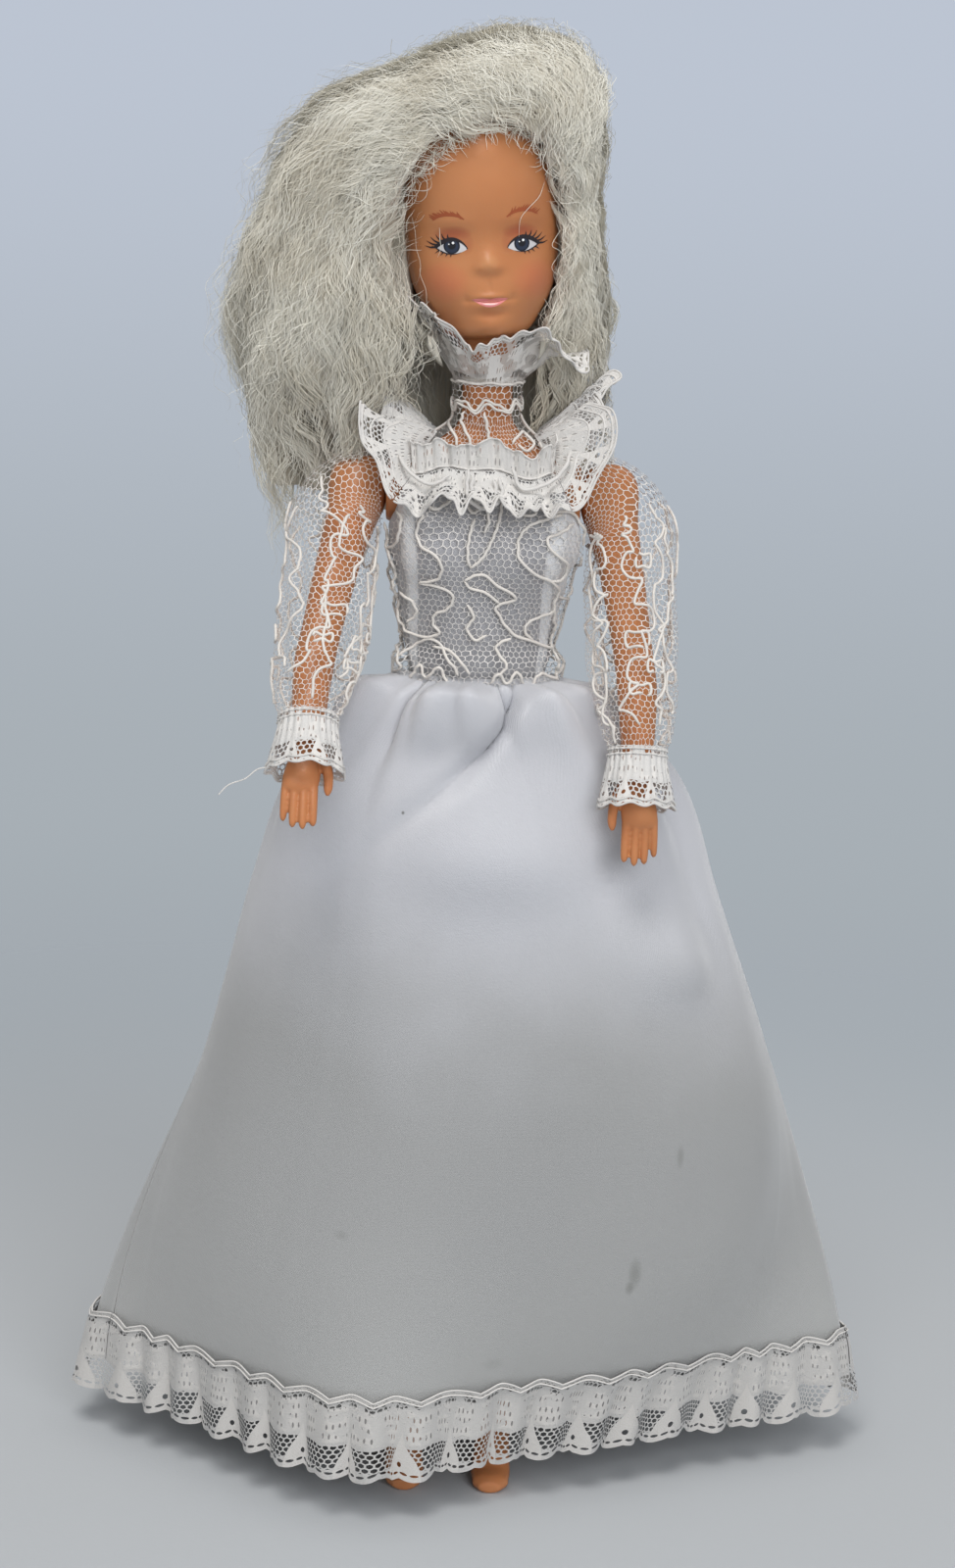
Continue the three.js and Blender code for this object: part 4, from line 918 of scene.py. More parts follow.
def bodyPoint(angle, z):
    halfWidth, front, back = bodySection(z)
    angle = nearAngle(angle)
    s, c = np.sin(angle), np.cos(angle)
    breast = body["bustOut"] * hump(z, body["bust"], 7.5) * (hump(angle, 0.62, 0.42) + hump(angle, -0.62, 0.42))
    return stack(halfWidth * squared(s), -np.where(c > 0, front + breast, back) * squared(c), z)


def onBody(offset):
    return lambda angle, z: bodyPoint(angle, z) + normalOf(bodyPoint, angle, z) * offset


def bodyAngle(x, z):  # the angle at which the front of the body has this x
    halfWidth = bodySection(z)[0]
    share = np.clip(np.abs(x) / halfWidth, 0, 1) ** (1 / 0.92)
    return np.sign(x) * np.arcsin(share)


# ---- Skirt: plans at rising depths, gathered at the waist
skirt = {
    "half": 83, "frontDepth": 31, "backDepth": 44, "top": 170.85, "hemLift": 9.5, "hemHeight": 14,
    "offset": 3.5, "sway": 1.6, "thickness": 0.45, "rise": 7.2,
    "overBand": 2.675, "seams": (0.305, 0.805), "seamGap": 0.15, "foldDepth": 1.35,
}
hemPoints = [  # x as a share of half the hem's width, and y
    (-0.18, -31), (0.24, -17.36), (0.64, 0), (0.93, 11), (1.06, 19.8), (0.91, 31.68), (0.53, 40.92),
    (0, 44), (-0.52, 39.6), (-0.84, 29.04), (-0.95, 16.72), (-0.8, 2.2), (-0.52, -16.12),
]


def hemCurve():  # a centripetal curve round the hem, with its length
    ring = np.array([(x * skirt["half"], y) for x, y in hemPoints], float)
    found = []
    for k in range(len(ring)):
        a, b, c, d = (ring[(k + i) % len(ring)] for i in (-1, 0, 1, 2))
        gaps = [np.linalg.norm(q - p) ** 0.5 for p, q in ((a, b), (b, c), (c, d))]
        leaving = ((b - a) / gaps[0] - (c - a) / (gaps[0] + gaps[1]) + (c - b) / gaps[1]) * gaps[1]
        arriving = ((c - b) / gaps[1] - (d - b) / (gaps[1] + gaps[2]) + (d - c) / gaps[2]) * gaps[1]
        t = np.linspace(0, 1, 60, endpoint=False)[:, None]
        found.append(
            b * (2 * t**3 - 3 * t**2 + 1) + c * (3 * t**2 - 2 * t**3)
            + leaving * (t**3 - 2 * t**2 + t) + arriving * (t**3 - t**2)
        )
    points = np.concatenate([*found, ring[:1]])
    return points, runAlong(points)


rimPoints, rimReach = hemCurve()
hemLength = rimReach[-1]


def rimAt(u):
    at = (u - np.floor(u)) * hemLength
    return np.interp(at, rimReach, rimPoints[:, 0]), np.interp(at, rimReach, rimPoints[:, 1])


skirtSection = through([
    [0, 0, 0, 0, 0],
    [0.04, 0.108, 0.103, 0.114, 0.14],
    [0.13, 0.285, 0.262, 0.295, 0.5],
    [0.27, 0.395, 0.368, 0.409, 0.85],
    [0.42, 0.482, 0.443, 0.515, 1.45],
    [0.57, 0.552, 0.513, 0.6, 1.9],
    [0.73, 0.622, 0.585, 0.67, 1.8],
    [1, 0.73, 0.677, 0.75, 1.5],
])
gatherDice = np.random.default_rng(11)
gathers = [  # angle, width, depth and length of each fold that leaves the waist, and how far it drifts round
    (k * turn / 23 + gatherDice.uniform(-0.07, 0.07), gatherDice.uniform(0.03, 0.055),
     gatherDice.uniform(0.3, 0.9), gatherDice.uniform(0.06, 0.16), 0)
    for k in range(23)
] + [
    (-0.95, 0.2, 2.6, 0.13, -1), (-0.56, 0.05, -3.2, 0.13, 0), (-0.12, 0.16, 2.4, 0.15, -3),
    (0.2, 0.035, -2.0, 0.07, 0), (0.4, 0.05, -3.2, 0.17, -4.2), (0.52, 0.07, 1.8, 0.11, 0),
    (0.85, 0.2, 2.4, 0.16, 0), (1.22, 0.1, -3.6, 0.28, 0), (-1.4, 0.08, -2.6, 0.2, 0), (1.6, 0.12, 2.2, 0.22, 0),
]
swells = [  # angle and share down of each soft swell, its half sizes and how far it stands out
    (0.05, 0.215, 0.36, 0.055, 3.5), (-0.2, 0.1, 0.5, 0.035, -1.8), (0.78, 0.34, 0.22, 0.055, 4.0),
    (0.62, 0.235, 0.16, 0.045, -2.4), (-0.85, 0.3, 0.22, 0.1, 1.0), (-0.5, 0.62, 0.25, 0.14, -0.8),
    (0.2, 0.62, 0.3, 0.16, -0.8), (1.3, 0.3, 0.15, 0.12, 1.2),
    (2.2, 0.4, 0.3, 0.16, 1.8), (-2.4, 0.35, 0.35, 0.12, 2.0), (3.1, 0.5, 0.3, 0.2, -1.5),
]


def trimLow(u):
    return skirt["hemLift"] * (1 - smooth(0.36, 0.47, u) * (1 - smooth(0.61, 0.72, u)))


def riseAt(angle):  # how far the front of the skirt stands up over its seam
    return skirt["rise"] * smooth(-0.6, 0.2, np.cos(angle))


def skirtPoint(share, v):
    u = share - np.floor(share)
    rimX, rimY = rimAt(u)
    angle = np.arctan2(rimX / skirt["half"], -(rimY - 4) / skirt["backDepth"])
    rise = riseAt(angle)
    base = bodyPoint(angle, skirt["top"] + rise)
    outward = normalised(base * (1, 1, 0))
    base = base + outward * skirt["overBand"]
    widen, deepen, deepenBack, aside = skirtSection(v)
    depth = np.where(np.cos(angle) > 0, skirt["frontDepth"] * deepen, skirt["backDepth"] * deepenBack)
    roundX = base[..., 0] + skirt["half"] * widen * squared(np.sin(angle)) + skirt["offset"] * aside
    roundY = base[..., 1] - depth * squared(np.cos(angle))
    down = (np.maximum(v - 0.3, 0) / 0.7) ** 2.2
    sway = skirt["sway"] * np.cos(u * turn * 5 + 1.2) * smooth(0.3, 1, v)
    folds = 0
    begins = smooth(0, 0.03, v)
    for place, width, deep, length, drift in gathers:
        across = hump(nearAngle(angle - place - drift * v), 0, width * (1 + 5 * v))
        folds = folds + skirt["foldDepth"] * deep * across * begins * np.exp(-((v / length) ** 2))
    for place, low, wide, tall, deep in swells:
        folds = folds + deep * hump(nearAngle(angle - place), 0, wide) * hump(v, low, tall)
    crease = 0.5 + 0.5 * np.sin(angle * 17 + 2.2 * np.sin(angle * 4 + 1))
    puff = (1.0 + 1.3 * crease) * np.exp(-(((v - 0.04) / 0.035) ** 2))
    out = sway + folds + puff - 0.9 * hump(v, 0, 0.012)
    # the gathers stand up from the shelf at the waist
    raised = 0.6 * (folds + puff) * hump(v, 0.03, 0.035) * smooth(0, 0.012, v)
    raised = raised + rise * (1 - smooth(0, 0.4, v))
    x = mix(roundX, rimX, down) + outward[..., 0] * out
    y = mix(roundY, rimY, down) + outward[..., 1] * out
    return stack(x, y, mix(skirt["top"], trimLow(u) + skirt["hemHeight"], v) + raised)


def onSkirt(offset):  # the normal of skirtPoint points in, because v runs down
    return lambda u, v: skirtPoint(u, v) - normalOf(skirtPoint, u, np.clip(v, 0.001, 0.999), 5e-4) * offset


def skirtPanels():  # where the front and back panels begin and end, as shares of the hem
    seam = skirt["seamGap"] / hemLength
    low, high = skirt["seams"]
    return ("Front", high - 1 + seam, low - seam), ("Back", low + seam, high - seam)


def makeSkirt():
    downs = np.concatenate([np.linspace(0, 0.12, 26), np.linspace(0.12, 0.4, 30)[1:], np.linspace(0.4, 1, 30)[1:]])
    for word, first, last in skirtPanels():
        name, across = "skirt" + word, np.linspace(first, last, 220)
        panel = makeSheet(name, onSkirt(0.75), across, downs, satin, downwards=True, thickness=skirt["thickness"])
        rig.replaces(panel, "skirt_" + word.lower())
        dress("satin", "torso", panel)
        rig.sheet(panel, flat=flatSize[name], held="gathered", rests_on=["waist_band"])


makeSkirt()
print("skirt is made, hem length", round(hemLength), "mm")

# ---- Lace trim round the hem
trim = {"height": 18, "repeats": 36, "repeat": 12.6, "gathers": 38, "wave": 1.5}
trimLace = laceMaterial("hemLace", trim["repeat"], trim["height"], 0.75)


def trimPoint(share, v):  # v runs down from the heading to the scalloped edge
    u = share - np.floor(share)
    hem, above = skirtPoint(u, np.full_like(u, 1.0)), skirtPoint(u, np.full_like(u, 0.9))
    slope = (hem - above) / (above[..., 2:] - hem[..., 2:])
    phase = u * turn * trim["gathers"] + 0.9 * np.sin(u * turn * 7 + 1) + 0.5 * np.sin(u * turn * 13)
    low = trimLow(u)
    arch = np.abs(np.sin(phase / 2)) ** 0.8
    heading = 1.5 * (arch - 0.55) * (1 - v) ** 2
    z = mix(low + trim["height"], low, v) + heading + 0.35 * v * np.sin(phase)
    beyond = hem[..., 2:] - z[..., None]
    onSatin = hem + slope * np.where(beyond > 0, 0.4 * beyond, beyond)  # the lace hangs steeper
    inward = normalOf(skirtPoint, u, np.full_like(u, 0.97), 5e-4) * (1, 1, 0)
    wave = trim["wave"] * (0.3 + 0.7 * v) * (1 + np.cos(phase)) + 0.25 * np.sin(phase * 2 + 1) * (0.4 + v)
    shifted = onSatin - normalised(inward) * (1.5 + wave)[..., None]
    tangent = np.cross(normalised(inward), (0, 0, 1))
    shifted = shifted + tangent * (1.1 * np.sin(phase) * (0.5 + 0.5 * v))[..., None]
    shifted[..., 2] = np.maximum(z, 0.15)
    return shifted


def makeTrim():
    for word, first, last in skirtPanels():
        name, shares = "hemLace" + word, np.linspace(first, last, 1050)
        flat = lambda u, v: (u * trim["repeats"] * trim["repeat"], (1 - v) * trim["height"])
        lace = makeSheet(name, trimPoint, shares, np.linspace(0, 1, 16), trimLace, downwards=True, cloth=flat)
        out = -normalOf(skirtPoint, shares, np.full_like(shares, 0.97), 5e-4)
        paths = [trimPoint(shares, np.full_like(shares, v)) + out * lift for v, lift in ((0.0, 0.0), (0.05, 0.25))]
        edge = tubes(name + "Cord", paths, [out, out], 0.19, whiteThread)
        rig.replaces(lace, "hem_trim_" + word.lower())
        dress("lace", "torso", lace, edge)
        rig.sheet(lace, flat=flatSize[name], held="gathered", rests_on=["skirt" + word], with_pieces=[edge])


makeTrim()
print("hem lace is sewn on")

# ---- Hard body parts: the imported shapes, with their facets rounded off
def rounded(node, name, material, rounds, role, rider):
    source = frame["nodes"][node]
    copy = bpy.data.objects.new(name, source.data.copy())
    bpy.context.scene.collection.objects.link(copy)
    selectOnly(copy)
    bpy.ops.object.mode_set(mode="EDIT")
    bpy.ops.mesh.select_all(action="SELECT")
    bpy.ops.mesh.remove_doubles(threshold=0.00001)
    bpy.ops.object.mode_set(mode="OBJECT")
    melted(copy, 0.6, rounds, material)
    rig.replaces(copy, node)
    dress(role, rider, copy)


rounded("torso_front", "torsoFront", hardSkin, 6, "hard_plastic", "torso")
rounded("torso_back", "torsoBack", hardSkin, 6, "hard_plastic", "torso")
rounded("right_leg", "rightLeg", vinylSkin, 5, "vinyl", "right_leg")
rounded("left_leg", "leftLeg", vinylSkin, 5, "vinyl", "left_leg")


# ---- Arms: one limb, a palm, four fingers and a thumb, melted into one skin
arm = {"shoulderOut": 26.15, "rightSwing": 32, "leftSwing": 18, "voxel": 0.3, "wrist": -58.76}


def hungArm(side):  # a surface on the hanging arm, turned to where that arm rests
    swing = math.radians(-(arm["leftSwing"] if side > 0 else arm["rightSwing"]))
    cosine, sine = math.cos(swing), math.sin(swing)

    def place(points):
        x, y, z = points[..., 0] * side, points[..., 1], points[..., 2]
        return stack(x + side * arm["shoulderOut"], y * cosine - z * sine, y * sine + z * cosine + body["shoulder"])

    return place


def limb(name, rows, place, rings=26, sides=16):  # through rows of x, y, z, half width and half depth
    table = np.array(rows, float)
    steps = runAlong(table[:, :3])
    share = (1 - np.cos(np.linspace(0, 1, rings) * math.pi)) / 2
    x, y, z, wide, deep = through(np.column_stack([steps, table]))(share * steps[-1])
    spin = np.linspace(0, turn, sides, endpoint=False)
    ahead = normalised(np.gradient(stack(x, y, z), axis=0))
    across = normalised(np.cross(np.cross(ahead, (1, 0, 0)), ahead))
    front = np.cross(ahead, across)
    loop = across[:, None] * (wide[:, None] * np.cos(spin))[..., None]
    loop = loop + front[:, None] * (deep[:, None] * np.sin(spin))[..., None]
    return loft(name, place(stack(x, y, z)[:, None] + loop), vinylSkin)


def fingerRows(x, y, top, reach, lean, curl, radius):
    rows = []
    for share, scale in ((-0.12, 0.5), (0, 1.0), (0.3, 1.0), (0.55, 0.95), (0.8, 0.84), (0.94, 0.66), (1.0, 0.25)):
        bend = curl * share * share
        rows.append((x + lean * share, y - 0.5 * share + bend, top - reach * share, radius * scale, radius * scale))
    return rows


def makeArm(side, word):
    place, w = hungArm(side), arm["wrist"]
    parts = [limb(word + "Limb", [
        (0.2, 0, 6.9, 1.0, 1.0), (0.2, 0, 6.2, 3.4, 3.4), (0.1, 0, 4.6, 5.2, 5.3), (0, 0, 2.4, 6.1, 6.3),
        (0.2, 0, -2, 6.1, 6.4), (1.2, 0, -7.05, 5.3, 5.75), (2.85, 0, -14.1, 4.7, 4.9), (4.65, 0, -24.1, 4.35, 4.4),
        (6.15, 0, -32.9, 4.1, 4.1), (7.1, -1.0, -40, 4.15, 4.0), (7.5, -2.6, -50, 3.6, 3.35), (7.5, -3.8, w, 2.9, 2.45),
        (7.55, -4.05, w - 2.2, 3.0, 2.2), (7.9, -4.3, w - 5.5, 3.55, 2.0), (8.3, -4.6, w - 8.4, 3.75, 1.75),
        (8.45, -4.7, w - 10.3, 3.3, 1.4), (8.5, -4.75, w - 11.3, 1.6, 0.7),
    ], place, 90, 36)]
    fingers = (9.3, 0.1, -0.35), (10.0, 0.0, -0.1), (9.5, 0.45, 0.15), (7.9, 1.15, 0.35)
    for k, (reach, back, lean) in enumerate(fingers):
        x = 8.5 + (k - 1.5) * 1.82
        rows = fingerRows(x, -4.75 + back * 0.4, w - 8.6, reach, lean, 0.8 + back, 0.98 if k < 3 else 0.88)
        parts.append(limb(word + "Finger", rows, place))
    parts.append(limb(word + "Thumb", [
        (6.6, -4.2, w - 1.2, 0.9, 0.9), (5.6, -4.5, w - 2.0, 1.35, 1.2), (4.2, -4.8, w - 3.4, 1.3, 1.15),
        (3.2, -4.95, w - 5.6, 1.1, 1.05), (2.75, -4.95, w - 8.2, 1.0, 0.95), (2.75, -4.9, w - 10.4, 0.85, 0.75),
        (2.85, -4.85, w - 11.5, 0.35, 0.3),
    ], place))
    spin = np.linspace(0, turn, 24, endpoint=False)
    plug = (-8.6, 1.2), (-8.55, 3.6), (-7.2, 3.6), (-7.15, 2.3), (-4.5, 2.3)
    rings = [stack(x, radius * np.cos(spin), radius * np.sin(spin)) for x, radius in plug]
    parts.append(loft(word + "Plug", place(np.array(rings)), vinylSkin))
    made = joined(word + "Arm", *parts)
    selectOnly(made)
    melted(made, arm["voxel"], 3, vinylSkin)
    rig.replaces(made, word + "_arm")
    dress("vinyl", word + "_arm", made)


makeArm(-1, "right")
makeArm(1, "left")

for node in ("hip_pin", "neck_knob", "right_leg_core", "left_leg_core"):
    coat(frame["nodes"][node], innerPlastic)
for node in ("waist_snap_stud", "waist_snap_socket", "neck_snap_stud", "neck_snap_socket"):
    coat(frame["nodes"][node], platedSteel)
print("body parts are rounded")

# ---- Bodice: satin under a net with cords laid over it
bodice = {
    "satinOffset": 0.95, "cordRadius": 0.33, "low": 172.0, "seam": 0.012, "backGap": 0.03, "thickness": 0.4,
    "armholeRadius": 10.25, "armholeFrom": 14.1, "netTop": 232.0, "netLow": 170.6, "netRise": 6.6,
}
satinTops = through([  # angle and height of the satin's upper edge
    [0, 225.5], [0.5, 225], [0.8, 221], [1.0, 213], [1.25, 208], [1.571, 205.9], [1.9, 207.5], [2.2, 213],
    [2.5, 219], [3.142, 219.5],
])
bodiceCords = [
    [(-1.6, 211.3), (-2.7, 208.0), (-3.1, 205.0), (-2.4, 202.5)],
    [(3.8, 215.6), (3.7, 212.0), (2.7, 208.2), (0.9, 205.1), (-1.3, 203.1), (-2.4, 202.5)],
    [(-3.4, 199.9), (-1.3, 201.0), (1.2, 201.1), (3.6, 199.2), (6.5, 197.8), (7.1, 196.4), (4.4, 195.2), (3.3, 194.2),
     (4.1, 192.3), (5.5, 189.9), (7.0, 188.2), (10.2, 186.9), (13.4, 185.3), (15.2, 185.0), (16.1, 186.5)],
    [(-3.4, 199.9), (-2.3, 198.4), (1.2, 197.5), (4.2, 195.2)],
    [(14.8, 212.4), (12.3, 211.4), (9.3, 209.9), (7.8, 207.7), (8.0, 204.8), (10.3, 202.2), (12.8, 200.4),
     (14.1, 197.7), (13.8, 195.1), (13.9, 191.9), (14.3, 188.2), (13.4, 184.6), (13.0, 181.5), (12.6, 179.0)],
    [(16.4, 211.2), (14.0, 209.1), (12.0, 207.7), (13.3, 205.3), (14.7, 203.3), (14.3, 201.0), (12.4, 200.7)],
    [(14.5, 196.4), (16.6, 194.6), (17.0, 194.0), (16.2, 192.0), (15.8, 188.8), (14.6, 185.3)],
    [(13.9, 193.6), (11.6, 192.1), (9.6, 191.0), (8.9, 189.0), (10.6, 187.1)],
    [(-13.7, 211.8), (-11.7, 211.6), (-12.3, 209.0), (-11.5, 206.2), (-9.4, 204.9), (-8.1, 203.3), (-8.2, 200.8),
     (-9.4, 199.9), (-11.3, 199.2), (-9.0, 198.9), (-6.2, 197.6), (-5.3, 195.6), (-6.5, 193.4), (-8.3, 192.5),
     (-8.7, 190.0), (-7.4, 188.3), (-9.4, 187.0), (-11.8, 187.1), (-13.8, 188.3), (-15.0, 190.7), (-15.6, 194.6),
     (-15.7, 198.6), (-16.2, 202.6), (-17.6, 206.2), (-17.9, 210.2)],
    [(-13.0, 182.7), (-11.7, 185.1), (-9.4, 186.6), (-7.7, 186.0), (-6.1, 184.1), (-4.5, 182.2), (-3.2, 179.7)],
    [(-8.6, 185.1), (-5.4, 184.6), (-2.6, 182.3), (-1.2, 180.3)],
    [(3.9, 180.0), (5.3, 182.6), (4.0, 184.2), (3.6, 185.8), (4.7, 186.9), (6.4, 187.6)],
    [(-9.6, 215.1), (-10.7, 213.5), (-9.5, 212.5), (-7.8, 213.7), (-6.1, 215.2)],
    [(10.6, 214.3), (13.0, 212.8), (16.2, 213.0), (17.6, 210.9), (17.9, 209.6), (17.7, 207.2)],
    [(-17.1, 204.8), (-15.1, 207.0), (-14.7, 210.2), (-16.1, 212.2)],
    [(-10.4, 234.5), (-11.5, 230.8), (-12.0, 227.0), (-12.6, 224.0)],
    [(-6.0, 233.0), (-7.3, 230.3), (-5.8, 228.0), (-5.3, 225.4)],
    [(-3.3, 233.4), (-3.8, 230.4), (-2.6, 225.8)],
    [(-0.4, 233.6), (0.2, 230.6), (0.9, 225.9)],
    [(5.0, 226.3), (5.8, 227.7), (6.6, 228.3), (7.4, 227.3), (8.9, 225.5), (7.9, 224.8), (6.1, 226.2)],
    [(5.2, 232.6), (6.9, 229.6), (9.4, 227.3), (10.8, 224.8)],
    [(-15.6, 177.0), (-16.3, 181.5), (-14.6, 185.5), (-16.6, 190.0), (-15.8, 194.5), (-17.2, 199.0), (-16.4, 203.0)],
    [(14.6, 177.5), (16.0, 182.0), (15.2, 187.0), (16.9, 191.5), (16.2, 196.0), (17.6, 200.5), (16.8, 205.0)],
    [(-11.0, 178.0), (-9.8, 181.6), (-8.6, 178.8), (-6.8, 181.4), (-5.2, 178.0)],
    [(2.6, 178.2), (3.8, 180.6), (5.4, 178.4), (6.8, 181.0), (8.2, 178.1)],
    [(-13.6, 178.4), (-12.2, 180.4), (-12.9, 183.0), (-14.9, 184.2)],
    [(9.4, 178.0), (10.6, 180.6), (12.4, 179.2), (14.0, 181.8)],
    [(-4.0, 215.6), (-2.2, 212.4), (0.2, 213.6), (1.4, 210.8), (0.4, 208.6)],
    [(6.4, 215.4), (7.6, 212.6), (10.2, 212.2), (10.8, 215.0)],
    [(-14.8, 196.2), (-12.6, 195.0), (-11.8, 192.0), (-13.2, 189.6)],
    [(-2.6, 194.8), (-1.0, 192.2), (-2.2, 189.4), (-0.6, 187.0), (1.6, 188.2)],
]


def sideSeam(angle, z):  # the stitched fold of satin down each side of the front panel
    middle = mix(1.12, 0.84, smooth(178, 204, z))
    return 0.75 * hump(np.abs(nearAngle(angle)), middle, 0.085) * smooth(172, 180, z)


def satinPoint(angle, z):
    puff = 2.6 * hump(nearAngle(angle - 1.12), 0, 0.33) * hump(z, 207, 8)
    puff = puff + 1.0 * hump(nearAngle(angle + 1.1), 0, 0.3) * hump(z, 205, 8)
    puff = puff + 0.3 * np.sin(z * 0.9 + angle * 5) * hump(np.abs(nearAngle(angle)), 1.25, 0.35)
    out = sideSeam(angle, z) + puff
    return onBody(bodice["satinOffset"])(angle, z) + normalOf(bodyPoint, angle, z) * out[..., None]


def bodicePanels():  # each panel's word, the end of its node's name and the angles where it begins and ends
    seam, behind = bodice["seam"], math.pi - bodice["backGap"]
    return (
        ("Front", "front", -quarter + seam, quarter - seam),
        ("BackLeft", "back_left", quarter + seam, behind),
        ("BackRight", "back_right", -behind, -quarter - seam),
    )


def makeBodice():
    for word, node, first, last in bodicePanels():
        name, front = "satin" + word, word == "Front"
        surface = lambda angle, share: satinPoint(
            angle, mix(bodice["low"], satinTops(np.abs(nearAngle(angle)))[0] + 0.25 * np.sin(angle * 9), share)
        )
        panel = makeSheet(
            name, surface, np.linspace(first, last, 76), np.linspace(0, 1, 84), stripedSatin if front else satin,
            cloth=(lambda angle, share: (17 * angle, mix(172, 220, share))) if front else None,
            thickness=bodice["thickness"],
        )
        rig.replaces(panel, "bodice_" + node)
        dress("satin", "torso", panel)
        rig.sheet(panel, flat=flatSize[name], held="stretched", rests_on=["torsoFront" if front else "torsoBack"])


def netLowAt(angle):
    return bodice["netLow"] + bodice["netRise"] * riseAt(angle) / skirt["rise"]


def netPoint(angle, z):
    gathered = 0.45 * np.sin(angle * 34 + 2 * np.sin(z * 0.25))
    gathered = gathered * hump(np.abs(nearAngle(angle)), 1.35, 0.4) * smooth(226, 214, z)
    loose = 0.5 + 0.35 * np.sin(z * 0.31 + 2.2 * angle) + gathered
    low = z - netLowAt(angle)
    overBand = 2.5 * smooth(8.4, 4.9, low) + 0.2 * np.sin(angle * 52 + 2 * np.sin(angle * 9)) * smooth(9.4, 3.4, low)
    return satinPoint(angle, z) + normalOf(bodyPoint, angle, z) * (0.55 + loose * 0.5 + overBand)[..., None]


def cutArmholes(thing):  # takes the net away where the arm comes through, and rounds the edge it leaves
    work = bmesh.new()
    work.from_mesh(thing.data)

    def reach(co):
        return math.hypot(co.y * 1000 - dollMiddle[1], co.z * 1000 - body["shoulder"])

    def outside(face):
        middle = face.calc_center_median()
        return abs(middle.x * 1000 - dollMiddle[0]) > bodice["armholeFrom"] and reach(middle) < bodice["armholeRadius"]

    bmesh.ops.delete(work, geom=[face for face in work.faces if outside(face)], context="FACES")
    work.to_mesh(thing.data)
    work.free()


def layCords(name, lines, material, offset, radius):
    paths, facings = [], []
    for line in lines:
        points = np.array(line, float)
        steps = runAlong(points)
        read = through(np.column_stack([steps, points]))
        x, z = read(np.linspace(0, steps[-1], max(8, int(steps[-1] / 0.5))))
        x = x + 0.12 * np.sin(z * 3.1 + x * 2)
        z = np.maximum(z, bodice["netLow"] + bodice["netRise"] + 0.3)
        angle = bodyAngle(x, z)
        normal = normalOf(bodyPoint, angle, z)
        paths.append(netPoint(angle, z) + normal * offset)
        facings.append(normal)
    return tubes(name, paths, facings, radius, material)


def wanderingLines(seed, count, span, heights, pace):  # cords drawn at random over the back and the sides
    dice = np.random.default_rng(seed)
    lines = []
    for _ in range(count):
        angle, z = dice.uniform(*span), dice.uniform(*heights)
        heading = dice.uniform(0, turn)
        line = []
        for _ in range(int(dice.integers(14, 34))):
            line.append((angle, z))
            heading += dice.normal(0, 0.55)
            angle += pace * math.cos(heading) / 17
            z += pace * math.sin(heading)
            if not (span[0] < angle < span[1] and heights[0] < z < heights[1]):
                break
        if len(line) > 5:
            lines.append(np.array(line))
    return lines


def cordsOver(name, surface, lines, outside, radius, material):
    paths, facings = [], []
    for line in lines:
        count = np.arange(len(line))
        read = through(np.column_stack([count, line]))
        a, b = read(np.linspace(0, len(line) - 1, len(line) * 4))
        normal = normalOf(surface, a, b) * np.sign(outside)
        paths.append(surface(a, b) + normal * abs(outside))
        facings.append(normal)
    return tubes(name, paths, facings, radius, material)


def makeLaceBodice():
    for word, node, first, last in bodicePanels():
        name = "net" + word
        surface = lambda angle, share: netPoint(angle, mix(netLowAt(angle), bodice["netTop"], share))
        angles = np.linspace(first, last, int(abs(last - first) * 70))
        net = makeSheet(name, surface, angles, np.linspace(0, 1, 84), tulle)
        cutArmholes(net)
        if word == "Front":
            threads = layCords("netFrontCords", bodiceCords, cord, 0.2, bodice["cordRadius"])
        else:
            upper = first + 0.7 * (first > 0), last - 0.7 * (first < 0)
            lines = wanderingLines(31 + len(name), 16, (first + 0.1, last - 0.1), (179, 204), 1.7)
            lines += wanderingLines(57 + len(name), 7, upper, (205, 229), 1.6)
            threads = cordsOver(name + "Cords", netPoint, lines, 0.2, bodice["cordRadius"], cord)
        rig.replaces(net, "lace_" + node)
        dress("lace", "torso", net, threads)
        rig.sheet(net, flat=flatSize[name], held="stretched", rests_on=["satin" + word], with_pieces=[threads])


makeBodice()
makeLaceBodice()
print("bodice and its net are made")

# ---- Bands at the waist and the neck
bands = {"waistLow": 171.9, "waistHigh": 175.9, "waistOffset": 2.3, "thickness": 0.9, "lap": 0.07}


